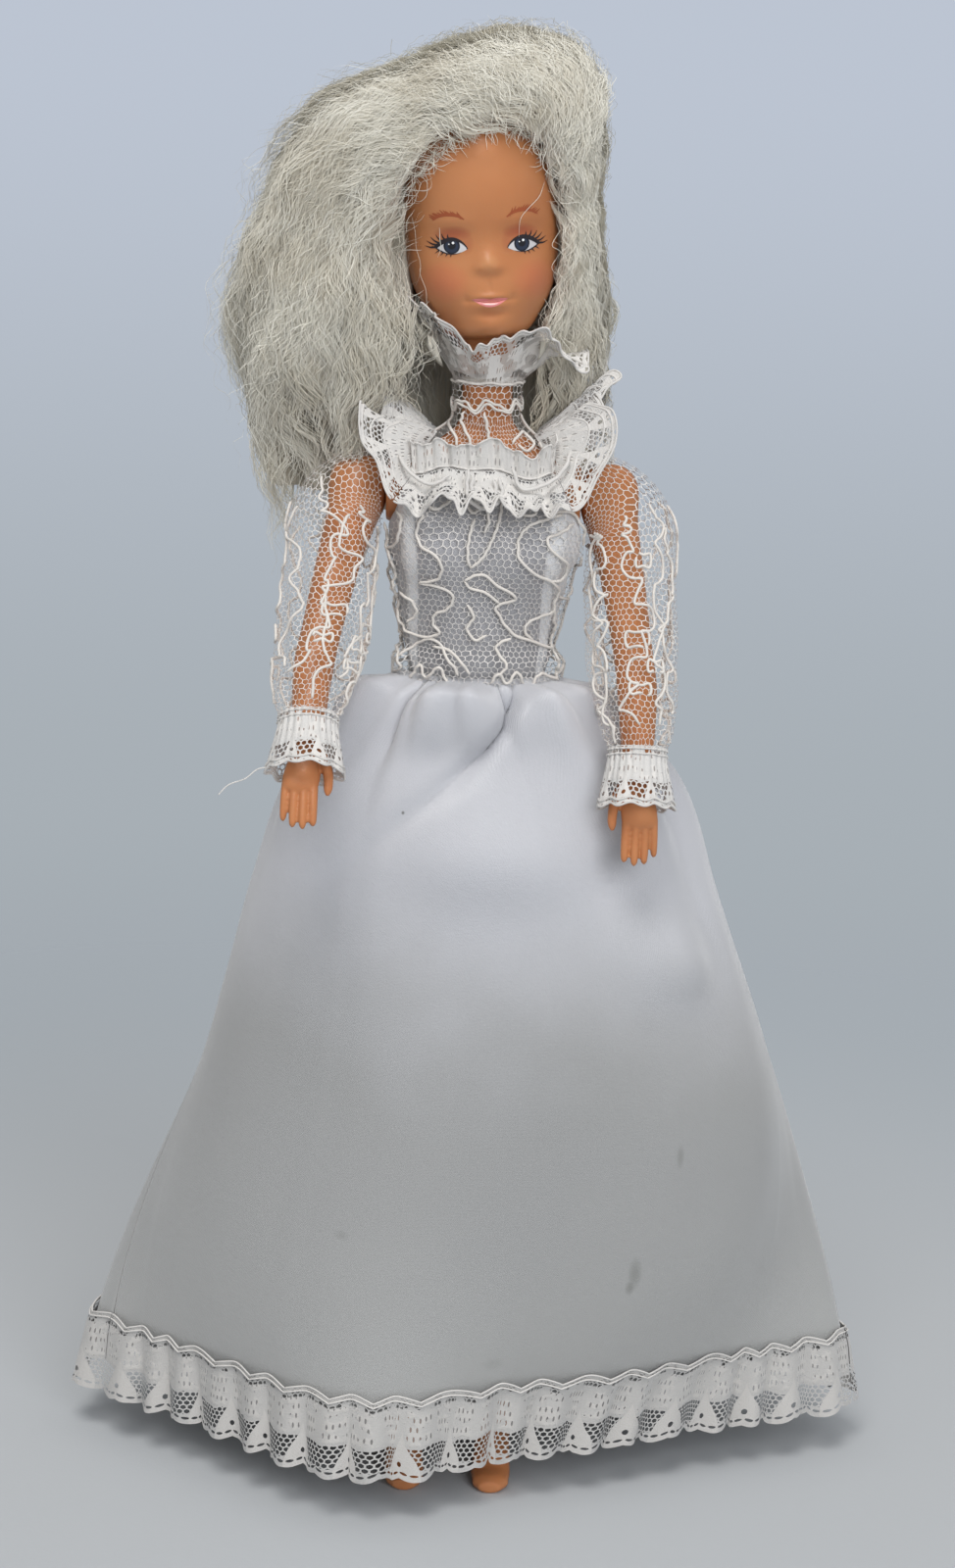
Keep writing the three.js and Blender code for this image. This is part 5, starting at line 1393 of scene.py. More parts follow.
def makeBands():
    angles = np.linspace(-math.pi + 0.02, math.pi + bands["lap"], 240)
    bulge = lambda angle, z: bodyPoint(angle, z) + normalOf(bodyPoint, angle, z) * (
        bands["waistOffset"] + 0.35 * np.cos((z - 173.9) * 0.75) + 0.2 * np.sin(angle * 46 + 3 * np.sin(angle * 5))
        + 1.4 * smooth(math.pi - 0.35, math.pi - 0.1, angle)
    )[..., None]
    heights = np.linspace(bands["waistLow"], bands["waistHigh"], 14)
    waist = makeSheet("waistBand", bulge, angles, heights, satin, thickness=bands["thickness"])
    stitches = []
    for z in (172.6, 175.2):
        for start in np.arange(-math.pi + 0.1, math.pi - 0.1, 0.11):
            stitches += rowsAt(np.linspace(start, start + 0.07, 4), z)
    threads = cordsOver("waistStitches", bulge, stitches, 0.03, 0.1, whiteThread)
    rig.replaces(waist, "waist_band")
    collarLine = lambda angle, z: bodyPoint(angle, z) + normalOf(bodyPoint, angle, z) * (
        2.0 + 0.2 * np.sin(angle * 12) + 1.4 * smooth(math.pi - 0.6, math.pi - 0.15, angle)
    )[..., None]
    neckAngles = np.linspace(-math.pi + 0.02, math.pi + 0.2, 120)
    neck = makeSheet("neckBand", collarLine, neckAngles, np.linspace(231.5, 239.6, 18), tulle)
    edges = []
    for z, sway in ((234.2, 0.8), (235.0, 0.9), (239.4, 0.15)):
        turns = np.linspace(-math.pi + 0.1, math.pi, 150)
        edges.append(np.column_stack([turns, z + sway * (np.sin(turns * 7 + 1) + 0.5 * np.sin(turns * 13 + z))]))
    drawn = cordsOver("neckCords", collarLine, [line[::3] for line in edges], 0.15, 0.28, cord)
    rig.replaces(neck, "neck_band")
    dress("satin", "torso", waist, threads)
    dress("lace", "torso", neck, drawn)


makeBands()

# ---- Flounce round the shoulders
flounce = {"offset": 2.15, "repeat": 7.0, "height": 11.0, "shoulderHeight": 17.0}
flounceLace = laceMaterial("flounceLace", flounce["repeat"], flounce["height"])
shoulderLace = laceMaterial("shoulderLace", flounce["repeat"], flounce["shoulderHeight"])
headingLace = laceMaterial("headingLace", 9.0, 14.0)


def flouncePoint(angle, v):
    angle = nearAngle(angle)
    side = smooth(0.68, 0.95, np.abs(np.sin(angle)))
    seamZ = mix(220.6 + 0.8 * np.cos(4.4 * angle + 0.7) + 0.35 * np.sin(11 * angle), 227.2, side)
    base = onBody(flounce["offset"])(angle, seamZ)
    outward = normalised(base * np.stack([mix(0.15, 1, side), np.ones_like(side), np.zeros_like(side)], -1))
    sideSlope = np.where(np.sin(angle) > 0, math.radians(36), math.radians(32))
    slope = mix(math.radians(-34), sideSlope, side)
    swing = (np.cos(13 * angle + 1.6 * np.sin(3 * angle)) + 0.6 * np.cos(21 * angle + 2 + 1.5 * v)) * v
    ruffle = 1.4 * np.sin(17 * angle + 3.5 * v + 2.4 * np.sin(4 * angle))
    ruffle = (ruffle + 0.55 * np.sin(31 * angle - 2.5 * v)) * v**1.4
    reach = mix(10.6, 17, side) * v + mix(1.7, 2.2, side) * swing
    frill = 0.5 * np.cos(44 * angle + 2 * np.sin(5 * angle)) * v**2 + mix(0.8, 1.2, side) * ruffle
    z = base[..., 2] + reach * np.sin(slope) + mix(1.7, 2.3, side) * swing + frill - 1.2 * side * v**3
    flat = base + outward * (reach * np.cos(slope) - 0.6 * frill)[..., None]
    flat[..., 2] = z
    return flat


def makeHeading():  # the short crumpled frill above the flounce's seam, front and back
    dice = np.random.default_rng(44)
    waves = [(k, dice.uniform(0, turn), dice.uniform(0.12, 0.4)) for k in (17, 26, 38, 53, 67)]

    def frill(angle, v):
        crumple = sum(deep * np.sin(k * angle + start + v) for k, start, deep in waves)
        tall = 5.4 + 0.8 * np.sin(angle * 9 + 1) + 0.5 * np.sin(angle * 23)
        foot = flouncePoint(angle, v * 0.02)
        normal = normalOf(bodyPoint, angle, foot[..., 2])
        out = 0.25 + 0.5 * v + (0.35 + 0.65 * v) * crumple
        return foot + stack(0, 0, 1) * (v * tall)[..., None] + normal * out[..., None]

    flat = lambda angle, v: (angle * 26, 6 + v * 5)
    made = {}
    for name, middle in (("flounceFront", 0), ("flounceBack", math.pi)):
        angles = np.linspace(middle - 0.86, middle + 0.86, 420)
        ruche = makeSheet("headingLace", frill, angles, np.linspace(0, 1, 12), headingLace, cloth=flat)
        edge = cordsOver("headingCord", frill, rowsAt(angles, 0.03, 0.98), 0.05, 0.22, whiteThread)
        heading = joined(name + "Heading", ruche, edge)
        dress("lace", "torso", heading)
        made[name] = [heading]
    return made


frontLoops = [  # a slack bight of the edging cord under the middle of the flounce, and smaller ones beside it
    [(-2.9, 220.5), (-3.2, 217.0), (-2.4, 213.8), (-0.2, 212.0), (2.4, 213.0), (3.6, 216.2), (2.8, 219.5)],
    [(-2.0, 220.0), (-2.3, 217.2), (-1.4, 214.8), (0.2, 213.7), (1.8, 214.8), (2.4, 217.0), (1.8, 219.0)],
    [(5.0, 220.8), (7.4, 217.2), (10.4, 217.8), (13.2, 219.6), (15.0, 222.6)],
    [(-15.0, 221.0), (-12.6, 218.8), (-9.6, 217.4), (-6.4, 219.4)],
]


def makeFlounce():
    gap = 0.002
    headings = makeHeading()
    for name, first, last, node, rider in (
        ("flounceFront", -0.8, 0.8, "flounce_front", None),
        ("flounceLeft", 0.8, math.pi - 0.8, "flounce_left_shoulder", ("left_arm", 1)),
        ("flounceBack", math.pi - 0.8, math.pi + 0.8, "flounce_back", None),
        ("flounceRight", math.pi + 0.8, turn - 0.8, "flounce_right_shoulder", ("right_arm", -1)),
    ):
        angles = np.linspace(first + gap, last - gap, 340)
        points = flouncePoint(angles, np.full_like(angles, 0.6))
        run = runAlong(points)
        tall, lace = (flounce["shoulderHeight"], shoulderLace) if rider else (flounce["height"], flounceLace)
        flat = lambda angle, v: (np.interp(angle, angles, run) * 1.2, (1 - v) * tall)
        ruffle = makeSheet(name, flouncePoint, angles, np.linspace(0, 1, 26), lace, cloth=flat)
        lines = rowsAt(angles[::2], 0.99, 0.93)
        sway = 0.05 * np.sin(angles[::2] * 19) + 0.03 * np.sin(angles[::2] * 43 + 1)
        lines += [np.column_stack([angles[::2], v + sway]) for v in (0.76, 0.56)]
        edge = cordsOver(name + "Cords", flouncePoint, lines, 0.08, 0.24, whiteThread)
        if name == "flounceFront":
            edge = joined(edge.name, edge, layCords("frontLoop", frontLoops, whiteThread, 4.6, 0.42))
        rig.replaces(ruffle, node)
        if rider:
            dressBetween("lace", "torso", rider[0], (rider[1] * 18, 0, 226), (rider[1] * 46, 0, 226), ruffle, edge)
        else:
            dress("lace", "torso", ruffle, edge)
        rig.sheet(
            ruffle, flat=flatSize[name], held="gathered", rests_on=["netFront", "netBackLeft"],
            with_pieces=[edge, *headings.get(name, [])],
        )


makeFlounce()

# ---- Ruffled collar
collar = {"root": 6.9, "low": 238.9, "height": 10.0}
collarLace = sheerMaterial("collarLace", 8.0, collar["height"])
collarShape = through([  # angle, height and reach of the free edge
    [-math.pi, 248.5, 15.5], [-2.1, 249.5, 16], [-1.5, 253, 17], [-1.0, 256, 17], [-0.65, 252, 16], [-0.3, 248.2, 14.8],
    [0.15, 248.6, 14.2], [0.5, 251.8, 15.4], [0.75, 249.5, 18], [1.0, 245.2, 20.5], [1.3, 243.6, 21.5],
    [1.8, 247.6, 17.5], [2.3, 248.5, 16], [math.pi, 248.5, 15.5],
])
collarDice = np.random.default_rng(83)
collarWrinkles = [(k, collarDice.uniform(0, turn), collarDice.uniform(0.2, 0.55)) for k in (5, 11, 16, 23, 34)]


def collarPoint(angle, v):
    angle = nearAngle(angle)
    top, reach = collarShape(angle)
    flute = (np.cos(9 * angle + 1.1 * np.sin(2 * angle + 1)) + 0.5 * np.cos(14 * angle + 2)) * v
    wrinkle = sum(deep * np.sin(k * angle + start + 2.5 * v * np.sin(start)) for k, start, deep in collarWrinkles)
    wrinkle = wrinkle * v**1.3
    radius = mix(collar["root"], reach, v**1.15) + 1.1 * flute + 0.8 * wrinkle
    frill = 0.45 * np.sin(31 * angle + 1.5 * np.sin(4 * angle)) * v**2
    droop = 6.0 * hump(angle, 1.05, 0.42) * np.sin(v * math.pi)
    z = collar["low"] + (top - collar["low"]) * v**0.9 + droop + 1.0 * np.sin(9 * angle + 0.6) * v
    z = z + frill + 0.6 * wrinkle
    return stack((radius + 0.4 * frill) * np.sin(angle), -(radius + 0.4 * frill) * np.cos(angle), z)


def makeCollar():
    angles = np.linspace(-math.pi + 0.03, math.pi - 0.03, 760)
    rim = collarPoint(angles, np.full_like(angles, 0.7))
    run = runAlong(rim)
    flat = lambda angle, v: (np.interp(angle, angles, run) * 1.2, (1 - v) * collar["height"])
    ruffle = makeSheet("collarRuffle", collarPoint, angles, np.linspace(0, 1, 22), collarLace, cloth=flat)
    lines = rowsAt(angles[::2], 0.99, 0.92)
    edge = cordsOver("collarCords", collarPoint, lines, 0.05, 0.22, whiteThread)
    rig.replaces(ruffle, "collar_ruffle")
    dressBetween("lace", "torso", "head", (0, 0, 240), (0, 0, 258), ruffle, edge)  # the free edge goes with the chin
    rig.sheet(ruffle, flat=flatSize["collarRuffle"], held="gathered", rests_on=["neckBand"], with_pieces=[edge])


makeCollar()
print("flounce and collar are gathered")

# ---- Sleeves and cuffs, shaped on a hanging arm and then turned at the shoulder
sleeveSection = through([
    [10.1, 5.15, 0, 9.55, 9.6],
    [18.05, 4.95, 0, 9.38, 9.6],
    [29.15, 5.55, -0.6, 9.2, 9.6],
    [42.4, 6.53, -2.6, 8.56, 8.64],
    [49.29, 7.35, -3.52, 7.3, 6.9],
    [53, 7.5, -3.8, 5.9, 5.6],
])
cuffLace = laceMaterial("cuffLace", 5.6, 12.0)


def sleevePoint(angle, v):
    bend = (np.minimum(v, 0) + 1) * quarter
    outX, outZ = np.sin(bend), np.cos(bend)
    half = mix(9.4, 9.55, np.minimum(v, 0) + 1)
    depth = mix(9.4, 9.6, np.minimum(v, 0) + 1)
    reach = 0.7 + half * (1 + np.cos(angle))
    cap = stack(-5.1 + outX * reach, depth * np.sin(angle), -10.1 + outZ * reach)
    down = mix(10.1, 53, np.maximum(v, 0))
    x, y, halfWidth, halfDepth = sleeveSection(down)
    folds = 1 + 0.05 * np.cos(6 * angle + 2 * np.sin(v * 5)) * smooth(0, 0.3, v)
    folds = folds + 0.03 * np.sin(11 * angle + v * 9) * smooth(0, 0.2, v)
    pinch = 1 + 0.05 * np.cos(24 * angle) * smooth(0.8, 1, v)
    tube = stack(x + halfWidth * folds * pinch * np.cos(angle), y + halfDepth * folds * pinch * np.sin(angle), -down)
    return np.where((v <= 0)[..., None], cap, tube)


def cuffPoint(angle, v):
    scallop = np.cos(9 * angle) * v
    waves = 1 + 0.035 * scallop + 0.05 * np.sin(4 * angle + 2) * v + 0.03 * np.cos(26 * angle) * (1 - v)
    radius = (5.5 + 1.5 * smooth(0.05, 1, v)) * waves
    drop = 52.9 + 12.4 * (v + 0.03 * scallop)
    return stack(7.5 + 1.08 * radius * np.cos(angle), -3.9 + radius * np.sin(angle), -drop)


def makeSleeves():
    for side, word in ((-1, "right"), (1, "left")):
        place = hungArm(side)
        netShape = lambda angle, v: place(sleevePoint(angle * side, v))
        cuffShape = lambda angle, v: place(cuffPoint(angle * side, v))
        rows = np.concatenate([np.linspace(-1, 0, 14)[:-1], np.linspace(0, 1, 60)])
        round = np.linspace(-math.pi, math.pi, 181)
        net = makeSheet(word + "SleeveNet", netShape, round, rows, tulle, around=True, downwards=True)
        dice = np.random.default_rng(90 + side)
        lines = []
        for k in range(11):
            v = np.linspace(dice.uniform(-0.45, 0.02), dice.uniform(0.8, 1.0), 52)
            calm = mix(0.3, 1, smooth(-0.3, 0.15, v))
            start = k * turn / 11 + dice.uniform(-0.2, 0.2)
            roam = dice.normal(0, 0.13, 52)
            roam = np.convolve(np.cumsum(roam), np.ones(3) / 3, "same")
            phase, pace = dice.uniform(0, turn), dice.uniform(10, 19)
            drift = 0.7 * (roam - np.linspace(roam[0], roam[-1], 52))
            angle = start + calm * (drift + 0.16 * np.sin(pace * v * 2 + phase))
            v = v + 0.022 * calm * np.sin(pace * 2.7 * v + phase * 2)
            lines.append(np.column_stack([angle, np.clip(v, -0.6, 0.99)]))
        for k in range(9):
            middle, height = dice.uniform(0, turn), dice.uniform(0.02, 0.9)
            spin = np.linspace(0, turn * 0.9, 14) + dice.uniform(0, turn)
            wide, tall = dice.uniform(0.16, 0.3), dice.uniform(0.02, 0.05)
            rise = height + tall * np.sin(spin) + 0.012 * np.sin(3 * spin)
            lines.append(np.column_stack([middle + wide * np.cos(spin), rise]))
        threads = cordsOver(word + "SleeveCords", netShape, lines, -0.15, 0.3, cord)
        flat = lambda angle, v: ((angle + math.pi) / turn * 44.8, (1 - v) * 12)
        frill = makeSheet(
            word + "CuffLace", cuffShape, np.linspace(-math.pi, math.pi, 361), np.linspace(0, 1, 24), cuffLace,
            around=True, downwards=True, cloth=flat,
        )
        spin = np.linspace(-math.pi, math.pi, 120)
        edging = rowsAt(spin, 0.05, 0.14, 0.9, 0.99)
        edges = cordsOver(word + "CuffCords", cuffShape, edging, -0.08, 0.24, whiteThread)
        if side < 0:  # a loose end of thread at the cuff's edge
            tail = through([
                (0, 14.2, -5.0, -64.6), (1, 17, -5.6, -65.4), (2, 19.4, -5.8, -67.6), (3, 22.6, -6.2, -69.2),
                (4, 24.6, -6.0, -71.4),
            ])
            end = place(stack(*tail(np.linspace(0, 4, 40))))
            facing = np.broadcast_to((0.0, -1.0, 0.2), end.shape)
            edges = joined(edges.name, edges, tubes("looseThread", [end], [facing], 0.14, whiteThread))
        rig.replaces(net, word + "_sleeve")
        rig.replaces(frill, word + "_cuff")
        dress("lace", word + "_arm", net, threads, frill, edges)
        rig.sheet(net, flat=flatSize[net.name], held="gathered", rests_on=[word + "Arm"], with_pieces=[threads])
        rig.sheet(frill, flat=flatSize[frill.name], held="gathered", rests_on=[net.name], with_pieces=[edges])


makeSleeves()
print("sleeves and cuffs are made")

# ---- Head: a turned-up vinyl shell with its features raised on the front
head = {
    "seat": 241.34, "turn": math.radians(4), "tilt": math.radians(-5), "height": 56, "half": 15.8, "front": 16.0,
    "back": 19.6, "chin": 8.4, "span": 47.6,
}


def headRow(share, half, front, back):
    return [head["chin"] + share * head["span"], head["half"] * half, head["front"] * front, head["back"] * back]


headSection = through([
    [0, 6.2, 6.2, 6.2],
    [3.78, 6.32, 6.4, 6.8],
    [7.3, 6.5, 7.6, 7.6],
    headRow(0, 0.55, 0.8, 0.51),
    headRow(0.06, 0.69, 0.9, 0.6),
    headRow(0.17, 0.88, 0.95, 0.76),
    headRow(0.29, 0.975, 0.96, 0.87),
    headRow(0.42, 1, 0.955, 0.95),
    headRow(0.58, 1, 1, 1),
    headRow(0.74, 0.93, 0.95, 0.97),
    headRow(0.86, 0.75, 0.8, 0.8),
    headRow(0.95, 0.47, 0.52, 0.52),
    [56, 1.3, 1.3, 1.6],
])
reliefs = [  # centre x and z, width and height of each soft form, and how far it stands out
    (0.25, 23.1, 2.1, 2.3, 1.15), (0.3, 22.4, 2.7, 1.7, 0.3), (0.1, 26.6, 2.6, 4.2, 0.1),
    (-1.75, 22.2, 1.1, 1.0, 0.3), (2.25, 22.15, 1.1, 1.0, 0.3), (0.25, 20.3, 3.2, 0.8, -0.1),
    (-7.0, 26.9, 4.6, 3.4, -0.9), (7.2, 26.7, 4.6, 3.4, -0.9), (-6.9, 26.7, 2.9, 2.0, 0.8), (7.2, 26.5, 2.9, 2.0, 0.8),
    (-7.2, 31.6, 4.6, 1.7, 0.35), (7.3, 31.5, 4.6, 1.7, 0.35), (-8.6, 19.0, 4.8, 4.6, 0.9), (9.2, 18.7, 4.8, 4.6, 0.9),
    (0.2, 16.0, 5.4, 3.8, 0.9), (-1.1, 16.5, 1.6, 0.62, 0.35), (1.4, 16.45, 1.6, 0.62, 0.35),
    (0.3, 14.5, 2.6, 0.75, 0.5), (0.25, 15.55, 3.7, 0.34, -0.4), (0.2, 18.4, 0.6, 1.1, -0.18),
    (0.3, 12.7, 3.2, 0.9, -0.4), (0.2, 10.6, 3.8, 2.0, 1.0), (-4.6, 15.9, 0.8, 1.0, -0.25),
    (4.9, 15.9, 0.8, 1.0, -0.25),
    (0.2, 38, 11, 9, 0.6),
]


def relief(x, z):
    out = 0
    for cx, cz, wide, tall, deep in reliefs:
        out = out + deep * np.exp(-(((x - cx) / wide) ** 2) - ((z - cz) / tall) ** 2)
    return out


def skullPoint(angle, z):
    half, front, back = headSection(z)
    angle = nearAngle(angle)
    x = half * np.sin(angle)
    ahead = np.cos(angle)
    return stack(x, np.where(ahead > 0, -(front * ahead + relief(x, z) * smooth(0, 0.35, ahead)), -back * ahead), z)


def faceAt(x, z, proud=0.0):  # the point of the face in front of x and z
    half, front, _ = headSection(z)
    ahead = np.sqrt(np.clip(1 - (x / half) ** 2, 0, 1))
    return stack(x, -(front * ahead + relief(x, z) * smooth(0, 0.35, ahead)) - proud, z)


def placeHead(points):
    c, s = math.cos(head["tilt"]), math.sin(head["tilt"])
    x, y, z = points[..., 0] * c + points[..., 2] * s, points[..., 1], -points[..., 0] * s + points[..., 2] * c
    c, s = math.cos(head["turn"]), math.sin(head["turn"])
    return stack(x * c - y * s, x * s + y * c, z + head["seat"])


def faceMaterial():
    material, tree, shader, places, colour = skinMaterial("faceVinyl", 0.6)
    x, y, _ = splitVector(tree, places.outputs["UV"])
    # blush and the eye shadow on the lids are paint; the rest is painted shade by the inner eye corners and under the
    # lower lip, and a painted highlight on the nose tip
    for cx, cz, wide, tall, strength, tint in (  # soft patches of colour, each with its middle and half sizes
        (-9.0, 19.5, 5.5, 4.6, 0.5, "blush"), (9.8, 19.1, 5.5, 4.6, 0.5, "blush"),
        (-6.6, 29.2, 3.9, 1.7, 0.8, "lidShade"), (7.0, 29.1, 3.9, 1.7, 0.8, "lidShade"),
        (-4.0, 27.2, 1.6, 2.4, 0.4, "cornerShade"), (4.5, 27.1, 1.6, 2.4, 0.4, "cornerShade"),
        (0.3, 23.2, 2.2, 2.0, 0.25, "noseShade"), (0.3, 12.9, 3.0, 0.8, 0.2, "lipShade"),
    ):
        dx, dz = (x - cx) / wide, (y - cz) / tall
        mask = calc("MAXIMUM", 1.0 - (dx * dx + dz * dz), 0.0) * strength
        colour = mixColours(tree, mask, colour, finish[tint])
    tree.links.new(colour, shader.inputs["Base Color"])
    return material


def makeSkull():
    rings = []
    spin = np.linspace(0, turn, 320, endpoint=False)
    for radius, z in ((1.2, 9.0), (4.3, 8.8), (4.4, 2.4), (3.05, 1.6), (3.05, 0.1), (5.7, 0.0)):
        rings.append(stack(radius * np.sin(spin), -radius * np.cos(spin), z))
    heights = np.concatenate([np.linspace(0.2, 7.5, 14), np.linspace(7.5, 34, 112)[1:], np.linspace(34, 56, 44)[1:]])
    across = spin - 0.45 * np.sin(spin)  # closer together over the face
    for z in heights:
        rings.append(skullPoint(across, np.full_like(across, z)))
    skull = loft("headShell", placeHead(np.array(rings)), faceMaterial())
    local = np.array(rings)
    corner = skull.data.uv_layers["cloth"].data
    flat = np.zeros((len(corner), 2), np.float32)
    indices = np.zeros(len(corner), np.int32)
    skull.data.loops.foreach_get("vertex_index", indices)
    known = indices < local.shape[0] * local.shape[1]
    source = local.reshape(-1, 3)[indices[known]]
    flat[known] = np.where((source[:, 1] < 0)[:, None], source[:, [0, 2]], (99, 99))
    flat[~known] = (99, 99)
    corner.foreach_set("uv", flat.ravel())
    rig.replaces(skull, "head")
    dress("vinyl", "head", skull)


makeSkull()


# ---- Painted face: thin skins of paint that follow the head
def paint(name, colour, roughness=0.35):
    material, tree, shader, places = newMaterial(name, {"Roughness": roughness})
    mottle = placeGroup(tree, mottleGroup, places.outputs["Object"], {"Patch": 400.0, "Fine": 3000.0})
    dark = tuple(0.9 * part for part in colour)
    tree.links.new(mixColours(tree, Term(tree, mottle.outputs["Tone"]), colour, dark), shader.inputs["Base Color"])
    tree.links.new(bumpFrom(tree, Term(tree, mottle.outputs["Grain"]), 0.00001), shader.inputs["Normal"])
    return material


paints = {
    "eyeWhite": paint("eyeWhite", (0.64, 0.62, 0.63)),
    "iris": paint("irisBlue", (0.024, 0.034, 0.062), 0.5),
    "irisRim": paint("irisRim", (0.010, 0.012, 0.022)),
    "pupil": paint("pupilBlack", (0.012, 0.012, 0.016)),
    "liner": paint("lashBlack", (0.022, 0.016, 0.02)),
    "brow": paint("browBrown", (0.36, 0.085, 0.03), 0.5),
    "lip": paint("lipPink", (0.78, 0.26, 0.25)),
    "lipLight": paint("lipLight", (0.92, 0.62, 0.58)),
    "glint": paint("glintWhite", (0.95, 0.95, 0.95)),
}


def patch(points, proud, key):
    rows, columns = points.shape[:2]
    i, j = np.meshgrid(np.arange(rows - 1), np.arange(columns - 1), indexing="ij")
    corners = [(i, j), (i, j + 1), (i + 1, j + 1), (i + 1, j)]
    faces = np.stack([a * columns + b for a, b in corners], -1).reshape(-1, 4)
    where = placeHead(faceAt(points[..., 0], points[..., 1], proud))
    return makeMesh(key, where.reshape(-1, 3), faces, paints[key])


def stroke(line, width, proud, key, steps=20):  # a brush stroke, thick where width says
    line = np.array(line, float)
    count = np.arange(len(line))
    x, z = through(np.column_stack([count, line]))(np.linspace(0, len(line) - 1, steps))
    wide = np.interp(np.linspace(0, 1, steps), np.linspace(0, 1, len(width)), width)
    ahead = np.stack([np.gradient(x), np.gradient(z)], -1)
    ahead /= np.maximum(np.linalg.norm(ahead, axis=1, keepdims=True), 1e-9)
    aside = np.stack([-ahead[:, 1], ahead[:, 0]], -1)
    middle = np.stack([x, z], -1)
    across = np.linspace(0.5, -0.5, 5)[:, None, None]
    return patch(middle[None] + aside[None] * wide[None, :, None] * across, proud, key)


def makeEye(side, name):  # side -1 is the doll's right eye
    cx, cz = (-6.93, 26.80) if side < 0 else (7.28, 26.62)
    inner, outer = ((-3.85, 26.05), (-10.1, 26.55)) if side < 0 else ((4.30, 25.90), (10.85, 26.30))
    xs = np.linspace(inner[0], outer[0], 40)
    share = np.linspace(0, 1, 40)
    base = mix(inner[1], outer[1], share)
    top = base + 1.85 * np.sin(share**0.85 * math.pi) ** 0.8
    low = base - 1.15 * np.sin(share**1.05 * math.pi) ** 0.85
    parts = []
    order = slice(None) if side > 0 else slice(None, None, -1)
    white = np.stack([np.stack([xs, mix(top, low, k)], -1)[order] for k in np.linspace(0, 1, 12)])
    parts.append(patch(white, 0.03, "eyeWhite"))

    def disc(x, z, radius, proud, key, clipped=True):
        spin = np.linspace(0, turn, 49)
        rings = []
        for r in np.linspace(radius, 0.02, 7):
            px, pz = x + r * np.cos(spin), z + r * np.sin(spin)
            if clipped:
                at = np.argsort(xs)
                pz = np.clip(pz, np.interp(px, xs[at], low[at]) + 0.05, np.interp(px, xs[at], top[at]) - 0.05)
            rings.append(np.stack([px, pz], -1))
        return patch(np.array(rings)[:, ::-1], proud, key)

    parts += [
        disc(cx, cz, 1.62, 0.05, "irisRim"), disc(cx, cz - 0.1, 1.28, 0.07, "iris"),
        disc(cx, cz + 0.1, 0.78, 0.09, "pupil"),
        disc(cx + 0.28, cz + 0.6, 0.25, 0.12, "glint"), disc(cx - 0.55, cz + 0.35, 0.13, 0.12, "glint"),
    ]
    lid = np.stack([xs, top], -1)
    parts.append(stroke(lid, [0.2, 0.52, 0.8, 0.85, 0.7], 0.1, "liner", 44))
    wing = [(outer[0] - side * 0.9, top[-6]), outer, (outer[0] + side * 0.75, outer[1] + 0.35)]
    parts.append(stroke(wing, [0.5, 0.34, 0.04], 0.1, "liner"))
    parts.append(stroke(np.stack([xs, low], -1)[8:], [0.05, 0.16, 0.24, 0.26], 0.1, "liner", 40))
    for k, (from_, length, lean) in enumerate(
        ((0.55, 1.1, 0.3), (0.66, 1.6, 0.55), (0.76, 2.0, 0.75), (0.85, 2.3, 0.95), (0.93, 2.3, 1.15),
         (0.99, 2.1, 1.42))
    ):
        at = np.array([np.interp(from_, share, xs), np.interp(from_, share, top)])
        tip = at + length * np.array([side * math.sin(lean), math.cos(lean)])
        bend = (at + tip) / 2 + 0.18 * np.array([side * math.cos(lean), -math.sin(lean)])
        parts.append(stroke([at, bend, tip], [0.42, 0.3, 0.06], 0.12, "liner", 10))
    for from_, length, lean in ((0.52, 0.6, 0.35), (0.64, 0.75, 0.6), (0.76, 0.95, 0.8), (0.88, 1.1, 1.0)):
        at = np.array([np.interp(from_, share, xs), np.interp(from_, share, low)])
        tip = at + length * np.array([side * math.sin(lean), -math.cos(lean)])
        parts.append(stroke([at, (at + tip) / 2 + (0, 0.05), tip], [0.24, 0.17, 0.04], 0.12, "liner", 8))
    return joined(name, *parts)


def makeBrow(side, name):
    line = [(4.3, 32.1), (5.6, 32.9), (7.3, 33.3), (9.2, 33.1), (10.9, 32.2)]
    if side < 0:
        line = [(-4.3, 32.0), (-5.6, 32.8), (-7.6, 33.1), (-9.2, 32.8), (-10.5, 32.0)]
    dice = np.random.default_rng(5 + side)
    parts = [stroke(line, [0.25, 0.6, 0.7, 0.55, 0.12], 0.04, "brow", 40)]
    read = through(np.column_stack([np.linspace(0, 1, 5), line]))
    for t in np.linspace(0.12, 0.9, 12):
        x, z = (float(value) for value in read(t))
        lean = side * mix(0.35, 1.15, t) + dice.normal(0, 0.1)
        length = dice.uniform(1.2, 1.75)
        start = np.array([x, z - 0.2])
        tip = start + length * np.array([math.sin(lean), math.cos(lean)])
        parts.append(stroke([start, (start + tip) / 2, tip], [0.42, 0.34, 0.08], 0.06, "brow", 7))
    return joined(name, *parts)


